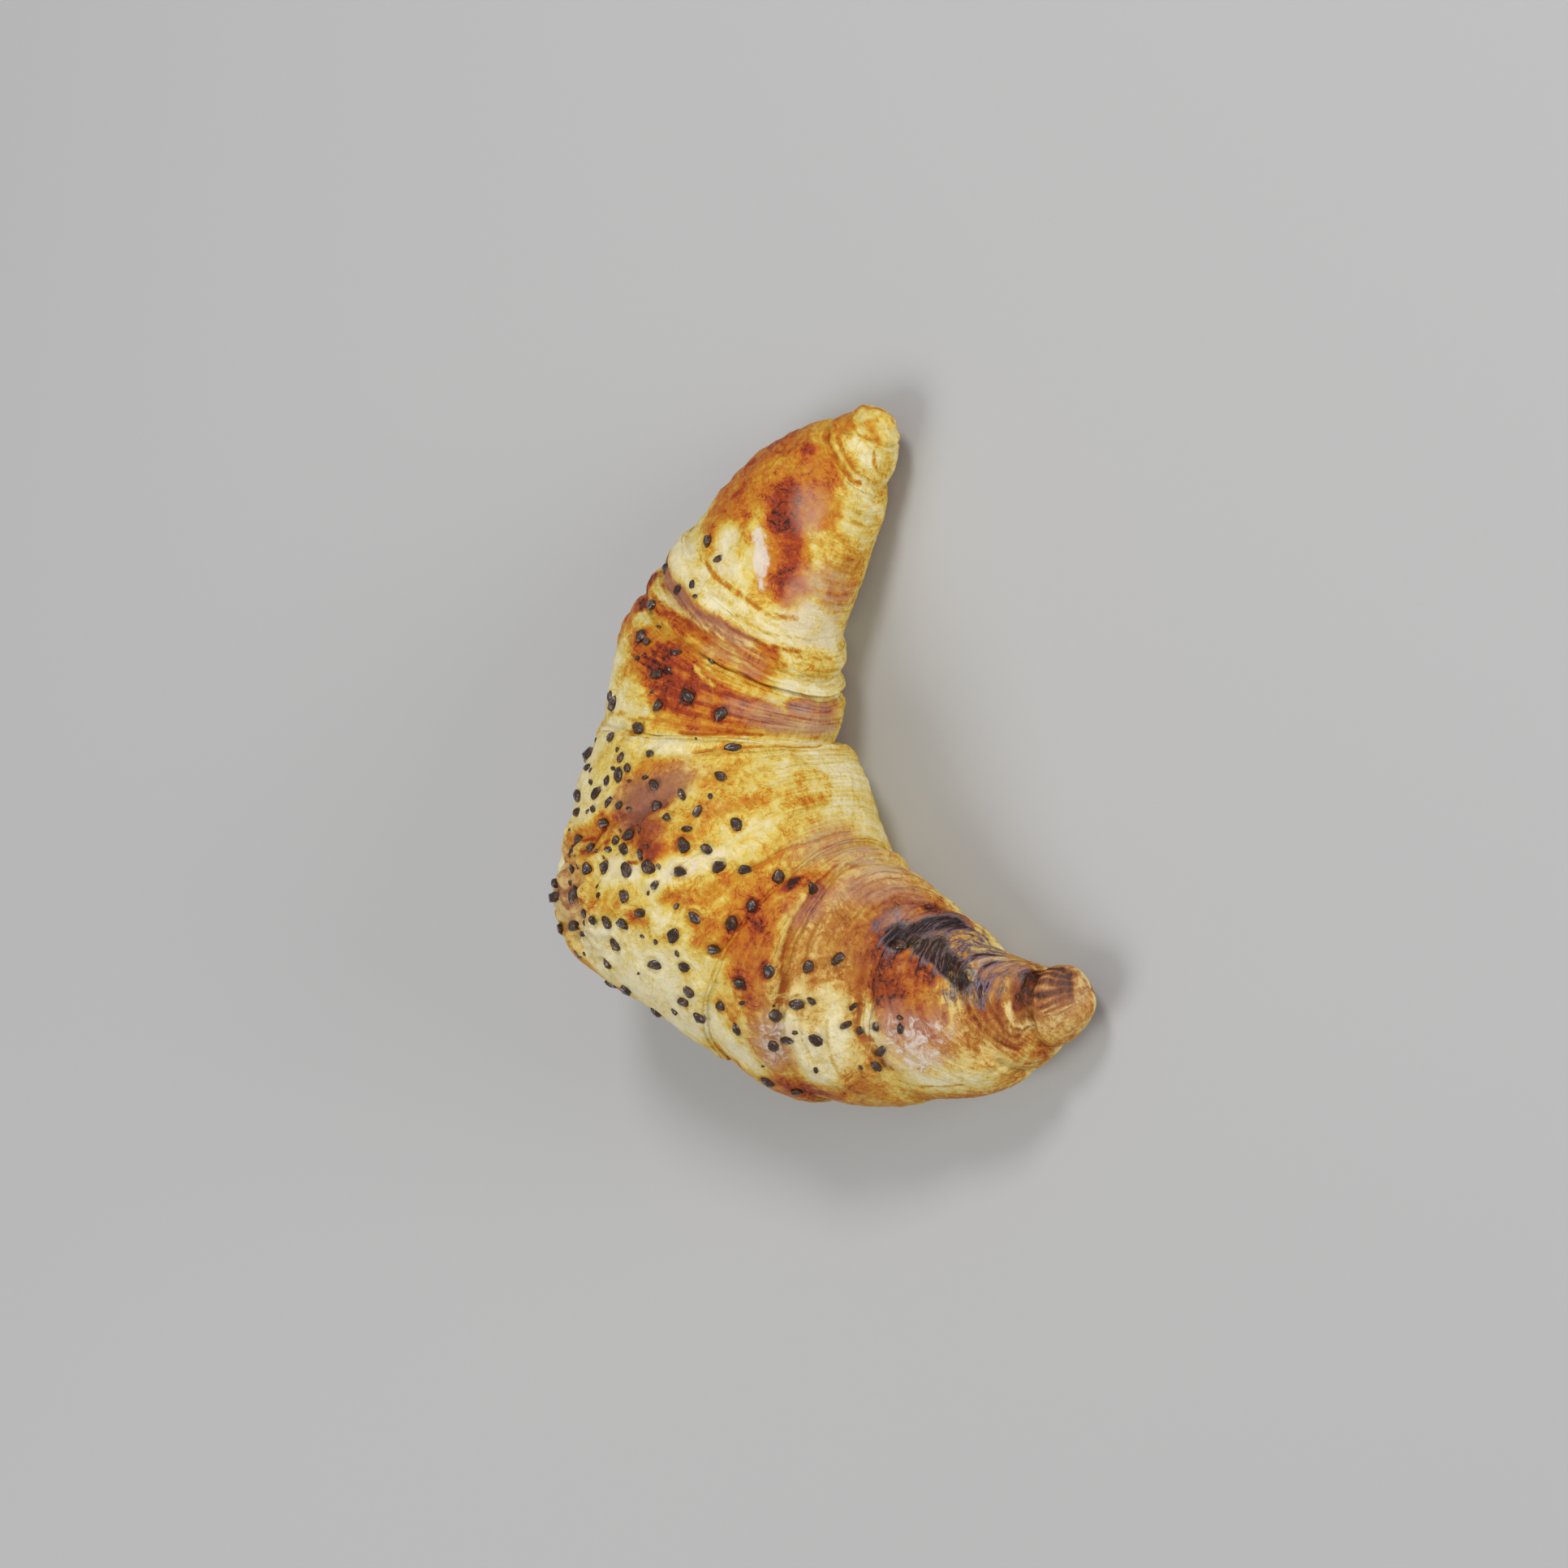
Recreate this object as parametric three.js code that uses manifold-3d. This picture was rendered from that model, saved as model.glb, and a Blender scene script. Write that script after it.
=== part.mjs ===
// A seeded croissant lying on its flat baked base. Millimetres, +Z up.
// Both tips point towards -Y, the outer bend points towards +Y and the crown of the roll points up.
// "along" runs from -1 at the -X tip to +1 at the +X tip. "angle" runs round the roll: zero on the
// crown, positive down the outer side and negative down the inner, hollow side.
import * as THREE from 'three';
import { mergeVertices } from 'three/addons/utils/BufferGeometryUtils.js';
import Module from 'manifold-3d';

// Plan outline, seen from above: the inner and the outer edge at evenly spaced stations.
const INNER_EDGE = [
  [-60.5, -54.5], [-50, -40], [-32.5, -28], [-23, -23.5], [-13.5, -19], [-4, -18.5],
  [5, -16], [13.5, -18.5], [31, -26], [50, -40], [67.5, -53],
];
const OUTER_EDGE = [
  [-66, -55], [-75.5, -31], [-70, -2], [-60, 17.5], [-35.5, 36], [-12.5, 52.5],
  [19, 38.5], [46.5, 21.5], [63.5, 1.5], [74.5, -25.5], [73, -50],
];

// Cross-section: a domed top over a fuller underside that the baking tray has pressed flat.
const HALF_HEIGHTS = [5, 12, 18, 23, 26.5, 27.5, 24.5, 21, 16.5, 11.5, 5];
const HEIGHT_TO_WIDTH = 0.79;
const CROWN_FULLNESS = 1.06;
const CENTRE_HEIGHT = 0.9;
const UNDERSIDE_POWER = 2.5;
const TIP_LIFT = 4;
const TIP_LIFT_POWER = 5;

// Edges of the rolled turns, from the -X tip to the +X tip. Each lies at "at" on the crown's line, is
// skewed by "skew" round the roll and bowed by "bow". The surface stands "before" millimetres off the
// smooth outline on the edge's -X side, and "after" millimetres off it on its +X side.
const TURN_EDGES = [
  { at: -0.89, skew: 0, bow: 0.005, before: 0, after: 0.4 },
  { at: -0.775, skew: -0.045, bow: 0, before: -0.8, after: 0.9 },
  { at: -0.65, skew: -0.02, bow: 0.03, before: -0.8, after: 0.7 },
  { at: -0.42, skew: -0.06, bow: 0, before: -0.9, after: 0.7 },
  { at: -0.29, skew: -0.02, bow: 0, before: -0.6, after: 0.9 },
  { at: 0.26, skew: 0.012, bow: 0, before: 1.0, after: -1.4 },
  { at: 0.455, skew: 0.03, bow: 0, before: 1.2, after: -1.0 },
  { at: 0.5, skew: 0.04, bow: -0.01, before: 0.5, after: -0.6 },
  { at: 0.575, skew: 0.045, bow: -0.01, before: 0.6, after: -0.8 },
  { at: 0.875, skew: 0.03, bow: 0, before: 0.9, after: -0.8 },
  { at: 0.955, skew: 0.01, bow: 0, before: 0.2, after: 0 },
];
// Swell in the middle of each turn, with one entry more than there are edges: the two end ones are balls.
const TURN_SWELL = [0, 0.4, 0.5, 0.5, 0.5, 1.6, 0.6, 0.3, 0.4, 0.5, 0.5, 0];
const TURN_ROWS = [5, 3, 4, 5, 3, 15, 5, 2, 2, 8, 3, 4];
const MIDDLE_TURN = 5;
const MIDDLE_INNER_SWELL = 1.4;
const NEAR_BALL_RADIUS = 8.4;
const FAR_BALL_RADIUS = 6;
const LIP_HALF_WIDTH = 0.002;
const COLUMNS = 40;

// Seeds stuck to the crown, each in a pocket of its own.
const SEED_COUNT = 48;
const SEED_SPACING = 5.5;
const SEED_LENGTH = [1.55, 2.15];
const SEED_BREADTH = [1.2, 1.5];
const SEED_THICKNESS = [0.85, 1.1];
const SEED_RISE = 0.25;
const SEED_GAP = 0.3;
const SEEDED_ALONG = [-0.72, 0.56];
const SEEDED_ANGLE = [-48, 66];
const DENSE_ALONG = -0.05;
const DENSE_SPREAD = 0.42;
const SEED_SIDES = 6;
const SEED_RINGS = 4;

const CRUST = { color: 0xd8992f, roughness: 0.45, metalness: 0 };
const SEED = { color: 0x2a1710, roughness: 0.3, metalness: 0 };

const wasm = await Module();
wasm.setup();

// A smooth curve through evenly spaced values.
function through(values, along) {
  const last = values.length - 1;
  const place = Math.min(Math.max((along + 1) / 2 * last, 0), last - 1e-9);
  const i = Math.floor(place);
  const w = place - i;
  const b = values[i];
  const c = values[i + 1];
  const a = i > 0 ? values[i - 1] : 2 * b - c;
  const d = i + 2 <= last ? values[i + 2] : 2 * c - b;
  return 0.5 * (2 * b + (c - a) * w + (2 * a - 5 * b + 4 * c - d) * w * w
    + (3 * b - a - 3 * c + d) * w * w * w);
}

const column = (points, axis) => points.map((point) => point[axis]);
const innerX = column(INNER_EDGE, 0);
const innerY = column(INNER_EDGE, 1);
const outerX = column(OUTER_EDGE, 0);
const outerY = column(OUTER_EDGE, 1);

// A point of the crust. "lip" is its distance outside the smooth outline; a ball end gives its own
// half width instead.
function crustPoint(along, angle, lip, ballHalfWidth = null) {
  const inner = new THREE.Vector2(through(innerX, along), through(innerY, along));
  const outer = new THREE.Vector2(through(outerX, along), through(outerY, along));
  const middle = inner.clone().add(outer).multiplyScalar(0.5);
  const across = outer.clone().sub(inner);
  const plainHalfWidth = across.length() / 2;
  const plainHalfHeight = through(HALF_HEIGHTS, along);
  across.normalize();
  const isBall = ballHalfWidth !== null;
  const halfWidth = isBall ? ballHalfWidth : plainHalfWidth + lip;
  const halfHeight = isBall ? HEIGHT_TO_WIDTH * ballHalfWidth : plainHalfHeight + HEIGHT_TO_WIDTH * lip;
  const centre = CENTRE_HEIGHT * plainHalfHeight + TIP_LIFT * Math.abs(along) ** TIP_LIFT_POWER;
  const rounding = 2 / UNDERSIDE_POWER;
  const sine = Math.sin(angle);
  const cosine = Math.cos(angle);
  const under = cosine < 0;
  const reach = under ? Math.sign(sine) * Math.abs(sine) ** rounding : sine;
  const rise = under ? -(Math.abs(cosine) ** rounding) : CROWN_FULLNESS * cosine;
  return new THREE.Vector3(
    middle.x + across.x * halfWidth * reach,
    middle.y + across.y * halfWidth * reach,
    Math.max(centre + halfHeight * rise, 0),
  );
}

const edgeAlong = (edge, angle) => edge.at + edge.skew * Math.sin(angle) + edge.bow * Math.cos(angle);

// The rows of points round the roll, as functions of the angle.
function crustRows() {
  const turnCount = TURN_EDGES.length + 1;
  const rows = [];
  for (let turn = 0; turn < turnCount; turn += 1) {
    const start = TURN_EDGES[turn - 1];
    const end = TURN_EDGES[turn];
    const steps = TURN_ROWS[turn];
    for (let step = 0; step <= steps; step += 1) {
      const v = step / steps;
      rows.push((angle) => {
        const from = start ? edgeAlong(start, angle) + LIP_HALF_WIDTH : -1;
        const to = end ? edgeAlong(end, angle) - LIP_HALF_WIDTH : 1;
        const along = from + (to - from) * v;
        if (!start) return crustPoint(along, angle, 0, NEAR_BALL_RADIUS * Math.sqrt(1 - (1 - v) ** 2));
        if (!end) return crustPoint(along, angle, 0, FAR_BALL_RADIUS * Math.sqrt(1 - v ** 2));
        return crustPoint(along, angle, lipAt(turn, v, angle));
      });
    }
  }
  return rows;
}

// Distance outside the smooth outline at fraction v of a turn.
function lipAt(turn, v, angle) {
  const start = TURN_EDGES[turn - 1].after;
  const end = TURN_EDGES[turn].before;
  const middle = turn === MIDDLE_TURN;
  const hump = middle ? 1 - (2 * v - 1) ** 4 : 4 * v * (1 - v);
  const innerSwell = middle ? -MIDDLE_INNER_SWELL * v * Math.sin(angle) : 0;
  return start + (end - start) * v + TURN_SWELL[turn] * hump + innerSwell;
}

function loafGeometry() {
  const rows = crustRows();
  const vertices = [];
  const triangles = [];
  const inside = rows.slice(1, -1);
  for (const row of inside) {
    for (let i = 0; i < COLUMNS; i += 1) vertices.push(row(2 * Math.PI * i / COLUMNS));
  }
  const nearPole = vertices.push(rows[0](0)) - 1;
  const farPole = vertices.push(rows.at(-1)(0)) - 1;
  const lastRow = (inside.length - 1) * COLUMNS;
  for (let i = 0; i < COLUMNS; i += 1) {
    const next = (i + 1) % COLUMNS;
    triangles.push(nearPole, i, next, farPole, lastRow + next, lastRow + i);
    for (let row = 0; row < lastRow; row += COLUMNS) {
      triangles.push(row + i, row + COLUMNS + i, row + next);
      triangles.push(row + next, row + COLUMNS + i, row + COLUMNS + next);
    }
  }
  const geometry = new THREE.BufferGeometry().setFromPoints(vertices);
  geometry.setIndex(triangles);
  return geometry;
}

function toSolid(geometry) {
  const bare = geometry.clone();
  bare.deleteAttribute('normal');
  bare.deleteAttribute('uv');
  const merged = mergeVertices(bare, 1e-5);
  return new wasm.Manifold(new wasm.Mesh({
    numProp: 3,
    vertProperties: new Float32Array(merged.attributes.position.array),
    triVerts: new Uint32Array(merged.index.array),
  }));
}

function toGeometry(solid) {
  const mesh = solid.getMesh();
  const geometry = new THREE.BufferGeometry();
  geometry.setAttribute('position', new THREE.BufferAttribute(mesh.vertProperties, 3));
  geometry.setIndex(new THREE.BufferAttribute(mesh.triVerts, 1));
  return geometry;
}

// A repeatable stream of numbers between 0 and 1.
function seededNumbers(start) {
  let state = start;
  return () => {
    state = (state * 1664525 + 1013904223) % 4294967296;
    return state / 4294967296;
  };
}

// Places on the crust where seeds sit, densest round the bend and never closer than SEED_SPACING.
function seedPlaces() {
  const random = seededNumbers(2024);
  const between = ([low, high]) => low + (high - low) * random();
  const places = [];
  while (places.length < SEED_COUNT) {
    const along = between(SEEDED_ALONG);
    const angle = THREE.MathUtils.degToRad(between(SEEDED_ANGLE));
    const turn = TURN_EDGES.findIndex((edge) => edgeAlong(edge, angle) > along);
    const from = edgeAlong(TURN_EDGES[turn - 1], angle);
    const v = (along - from) / (edgeAlong(TURN_EDGES[turn], angle) - from);
    const lip = lipAt(turn, v, angle);
    const point = crustPoint(along, angle, lip);
    const size = [between(SEED_LENGTH), between(SEED_BREADTH), between(SEED_THICKNESS)];
    const spin = random() * Math.PI;
    const kept = random() < Math.exp(-(((along - DENSE_ALONG) / DENSE_SPREAD) ** 2));
    const clear = places.every((other) => other.point.distanceTo(point) > SEED_SPACING);
    if (!kept || !clear) continue;
    const small = 0.01;
    const ahead = crustPoint(along + small, angle, lip).sub(point);
    const down = crustPoint(along, angle + small, lip).sub(point);
    const outward = ahead.cross(down).normalize();
    places.push({ point, outward, size, spin });
  }
  return places;
}

function seedGeometry(place, extra) {
  const geometry = new THREE.SphereGeometry(1, SEED_SIDES, SEED_RINGS);
  geometry.scale(...place.size.map((radius) => radius + extra));
  geometry.rotateZ(place.spin);
  const turn = new THREE.Quaternion().setFromUnitVectors(new THREE.Vector3(0, 0, 1), place.outward);
  geometry.applyQuaternion(turn);
  const centre = place.point.clone().addScaledVector(place.outward, SEED_RISE);
  geometry.translate(centre.x, centre.y, centre.z);
  return geometry;
}

const croissant = new THREE.Group();

function addPiece(name, geometry, finish) {
  geometry.computeVertexNormals();
  const mesh = new THREE.Mesh(geometry, new THREE.MeshStandardMaterial(finish));
  mesh.name = name;
  croissant.add(mesh);
}

let loaf = toSolid(loafGeometry());
seedPlaces().forEach((place, i) => {
  loaf = loaf.subtract(toSolid(seedGeometry(place, SEED_GAP)));
  const seed = toSolid(seedGeometry(place, 0));
  addPiece(`seed_${String(i + 1).padStart(2, '0')}`, toGeometry(seed), SEED);
});
addPiece('loaf', toGeometry(loaf), CRUST);

export default croissant;
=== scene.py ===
"""A seeded croissant lying on its flat baked base, with the seeds stuck to its crust and a plain stage.

Lengths are millimetres until a mesh is written, which is in metres. "along" runs from -1 at the -X tip
to +1 at the +X tip. "angle" runs round the roll: zero on the crown, positive down the outer side and
negative down the inner, hollow side.
"""

import itertools
import math
import random
from collections import namedtuple

import bpy
import numpy as np
from bpy.props import FloatProperty, FloatVectorProperty, IntProperty, PointerProperty
from mathutils import Matrix, Vector


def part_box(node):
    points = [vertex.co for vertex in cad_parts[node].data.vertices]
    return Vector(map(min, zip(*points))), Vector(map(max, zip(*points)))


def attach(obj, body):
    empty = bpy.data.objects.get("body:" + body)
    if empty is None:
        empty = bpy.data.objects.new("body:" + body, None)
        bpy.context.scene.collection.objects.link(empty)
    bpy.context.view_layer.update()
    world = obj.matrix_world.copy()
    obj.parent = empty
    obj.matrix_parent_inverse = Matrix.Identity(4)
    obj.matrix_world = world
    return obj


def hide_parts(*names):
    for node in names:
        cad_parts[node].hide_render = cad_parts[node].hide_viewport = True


bl_info = {
    "name": "Seeded croissant",
    "version": (1, 0, 0),
    "blender": (4, 5, 0),
    "location": "3D View > Sidebar > Croissant",
    "description": "Models a baked, seeded croissant and its stage",
    "category": "Add Mesh",
}

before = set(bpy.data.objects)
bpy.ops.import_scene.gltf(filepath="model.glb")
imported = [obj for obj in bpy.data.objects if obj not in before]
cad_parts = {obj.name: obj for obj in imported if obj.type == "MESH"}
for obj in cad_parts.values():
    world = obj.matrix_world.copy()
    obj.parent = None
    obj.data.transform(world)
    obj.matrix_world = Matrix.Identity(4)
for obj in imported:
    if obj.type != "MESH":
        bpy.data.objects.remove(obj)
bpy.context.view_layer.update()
SEED_NODES = sorted(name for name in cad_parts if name.startswith("seed_"))
MM = 0.001

# Smooth noise laid on the crust: its height, the size of its lumps in millimetres, its layers and seed.
Ripple = namedtuple("Ripple", "height size layers seed")

# ---------------------------------------------------------------- the roll's outline

# Plan outline, seen from above: the inner and the outer edge at evenly spaced stations.
INNER_EDGE = (
    (-60.5, -54.5), (-50, -40), (-32.5, -28), (-23, -23.5), (-13.5, -19), (-4, -18.5),
    (5, -16), (13.5, -18.5), (31, -26), (50, -40), (67.5, -53),
)
OUTER_EDGE = (
    (-66, -55), (-75.5, -31), (-70, -2), (-60, 17.5), (-35.5, 36), (-12.5, 52.5),
    (19, 38.5), (46.5, 21.5), (63.5, 1.5), (74.5, -25.5), (73, -50),
)
HALF_HEIGHTS = (5, 12, 18, 23, 26.5, 27.5, 24.5, 21, 16.5, 11.5, 5)
HEIGHT_TO_WIDTH = 0.79
CROWN_FULLNESS = 1.06
CENTRE_HEIGHT = 0.9
UNDERSIDE_ROUNDING = 0.8
TIP_LIFT = 4
TIP_LIFT_POWER = 5
ROLL_LENGTH = 95  # millimetres of the roll's middle line in one unit of "along"
CROWN_CROWDING = 0.3  # how much closer together the points lie on the crown than on the base

# Edges of the rolled turns: where each lies on the crown's line, its skew and bow round the roll, and
# how far the surface stands off the smooth outline on its -X side and on its +X side.
TurnEdge = namedtuple("TurnEdge", "at skew bow before after")
TURN_EDGES = (
    TurnEdge(-0.89, 0, 0.005, 0, 0.4),
    TurnEdge(-0.775, -0.045, 0, -0.8, 0.9),
    TurnEdge(-0.65, -0.02, 0.03, -0.8, 0.7),
    TurnEdge(-0.42, -0.06, 0, -0.9, 0.7),
    TurnEdge(-0.29, -0.02, 0, -0.6, 0.9),
    TurnEdge(0.26, 0.012, 0, 1.0, -1.4),
    TurnEdge(0.455, 0.03, 0, 0.8, -0.6),
    TurnEdge(0.5, 0.04, -0.01, 1.0, -1.0),
    TurnEdge(0.575, 0.045, -0.01, 0.6, -0.8),
    TurnEdge(0.875, 0.03, 0, 0.9, -0.8),
    TurnEdge(0.955, 0.01, 0, 0.2, 0),
)
TURN_SWELL = (0, 0.4, 0.5, 0.5, 0.5, 1.6, 0.6, 0.3, 0.4, 0.5, 0.5, 0)
MIDDLE_TURN = 5
MIDDLE_INNER_SWELL = 1.4
NEAR_BALL_RADIUS = 8.4
FAR_BALL_RADIUS = 6
SHOULDER_END = 0.6  # share of the far ball's length, past which only its nub goes on
NUB_RADIUS = 4

# How a turn's edge drops to the turn beneath it: millimetres past the edge, and the share of the drop.
# The steps are the flaky layers, with a slight undercut beneath each.
LAYERED_DROP = (
    (-0.75, 0.02), (-0.4, 0.08), (-0.12, 0.2), (0.02, 0.36), (0.0, 0.46), (0.12, 0.54), (0.42, 0.56),
    (0.64, 0.64), (0.72, 0.8), (0.68, 0.94), (0.84, 1.06),
)
PLAIN_DROP = ((-0.6, 0.04), (-0.2, 0.2), (0.0, 0.5), (0.02, 0.8), (0.16, 1.06), (0.6, 1.08))
DROP_REACH = 1.15
LAYERED_FROM = 1.3  # a step this high shows its layers
TIP_ROWS_CLOSER = 2.5
EDGE_WAVER = Ripple(0.5, 1.6, 3, 11)
TREAD_WAVER = Ripple(0.35, 1.4, 2, 23)

# The crust's lumps and streaks. The settings scale both, and blisters stand up from a level of noise.
BROAD_LUMPS, SMALL_LUMPS = Ripple(1, 15, 2, 31), Ripple(0.35, 6, 2, 37)
STREAKS, FINE_STREAKS = Ripple(1.5, 3.2, 2, 41), Ripple(1, 1.3, 2, 43)
BLISTERS, BLISTER_LEVEL, BLISTER_HEIGHT = (4.2, 47), 0.45, 1.1  # size and seed of their noise
STROKE_WAVER, STROKE_TWIST = Ripple(0.7, 7, 2, 53), Ripple(1.3, 6, 2, 59)
CRAGGY_PLACE = (0.02, 34)
CRAGGY_REACH, CRAGGY_HEIGHT = 17, 2.3
CRAGS, CRAG_LEVEL = Ripple(2, 6, 3, 61), 0.6
BASE_PITS, BASE_PIT_HEIGHT = (3.4, 67), 0.25
SMOOTHER_FROM, SMOOTHER_TO = 110, 140  # degrees from the crown, to the plainer underside
UNDERSIDE_RELIEF = TIP_RELIEF = 0.25
TIP_SMOOTHER_FROM = 0.86

# How far the grain of the crust is squeezed round the roll, so that noise in it runs in streaks.
STREAKED, FINE_STREAKED = np.array([1, 7, 7]), np.array([1, 3, 3])
LEAST_RADIUS = 3
LEAST_ROW = 0.12

# ---------------------------------------------------------------- how the crust is baked

# Depth of bake along the crown: 0 is cream, 0.25 butter, 0.45 gold, 0.6 orange, 0.75 chestnut, 1 burnt.
BAKE_ALONG = (
    (-1, 0.56), (-0.9, 0.54), (-0.82, 0.52), (-0.72, 0.54), (-0.62, 0.5), (-0.52, 0.46), (-0.42, 0.52),
    (-0.33, 0.46), (-0.24, 0.34), (-0.12, 0.28), (0.05, 0.32), (0.22, 0.22), (0.28, 0.38), (0.34, 0.56),
    (0.44, 0.56), (0.48, 0.46), (0.52, 0.22), (0.57, 0.16), (0.61, 0.46), (0.7, 0.64), (0.84, 0.67),
    (0.9, 0.34), (1, 0.36),
)
SIDE_BAKE = 0.18
SIDE_FROM, SIDE_TO = 80, 118  # degrees from the crown
SIDE_SHARE = 0.8
BASE_BAKE = 0.56
BASE_FROM, BASE_TO = 128, 158
SIDE_WAVER, BASE_WAVER = Ripple(10, 14, 2, 89), Ripple(8, 9, 2, 97)
BASE_MOTTLE = Ripple(0.12, 5, 3, 101)
MOTTLE, FINE_MOTTLE = Ripple(0.09, 8, 3, 79), Ripple(0.03, 2.4, 3, 83)
CRAG_BAKE = 0.12
# Raggedness of the painted patches' edges, and how it grows with a stroke's half width.
RAGGED, FINE_RAGGED = Ripple(1.3, 3.6, 3, 71), Ripple(0.5, 2, 2, 73)
RAGGED_WIDTH, RAGGED_OFFSET, RAGGED_LEAST, RAGGED_MOST = 3.2, 0.15, 0.12, 1.2
STROKE_SOFTNESS = 0.75
# How far the baked tones lean to tan and brown instead of yellow and orange, along the roll.
TAN_ALONG = (
    (-1, 0.9), (-0.9, 0.8), (-0.8, 0.6), (-0.7, 0.3), (-0.6, 0.5), (-0.44, 0.6), (-0.36, 0.18),
    (-0.28, 0), (-0.2, 0), (1, 0),
)
OUTER_TAN_SHARE = 0.5
OUTER_FROM, OUTER_TO = 20, 60
# How strongly the crust is streaked round the roll, along it and down its inner side.
STREAK_ALONG = (
    (-1, 0.35), (-0.88, 0.7), (-0.75, 0.7), (-0.65, 0.25), (-0.5, 0.3), (-0.36, 0.4), (-0.28, 0.15),
    (-0.15, 0), (0.2, 0), (0.28, 0.5), (0.36, 0.9), (0.5, 0.8), (0.58, 0.3), (0.66, 0.1), (0.82, 0.1),
    (0.9, 0.5), (1, 0.2),
)
INNER_STREAK = 0.85
INNER_STREAK_FROM, INNER_STREAK_TO = -46, -72
# How far the streaks slant off the roll's rings, along the roll, and the degree where they don't.
STREAK_SLANT = ((-1, 0), (-0.9, 0.02), (-0.82, 0.14), (-0.62, 0.15), (-0.42, 0.06), (-0.2, 0), (1, 0))
STREAK_SLANT_FROM = -30
LINE_REACH = 3  # past this many millimetres a thin line has no say
UNLINED_BAKE = 0.5

# Routes that a thin line, a groove or a patch share.
PALE_TIP_LIP = ((0.965, 40), (0.95, 12), (0.945, -14), (0.95, -44))
HOLLOW_CREASE = ((-0.213, -34), (-0.222, -46), (-0.232, -60), (-0.242, -72), (-0.25, -88))
ARM_RING = (
    (-0.445, 26), (-0.432, 2), (-0.405, -12), (-0.388, -24), (-0.372, -34), (-0.357, -48), (-0.35, -62),
)
BUMPY_RING = ((-0.598, -26), (-0.604, -12), (-0.612, 0), (-0.62, 14), (-0.633, 28), (-0.656, 42))
CHARRED_RING = ((-0.768, -30), (-0.785, -8), (-0.802, 8), (-0.835, 26), (-0.865, 38))
CHARRED_TIP_RING = ((-0.815, -20), (-0.835, -4), (-0.858, 14), (-0.88, 28))
# A fold that carries a dusky patch and a painted highlight.
HIGHLIGHT_FOLD = ((-0.43, 22), (-0.44, 36))
DUSKY_PATCH = ((0.125, -3), (0.13, -12), (0.145, -20))

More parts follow.
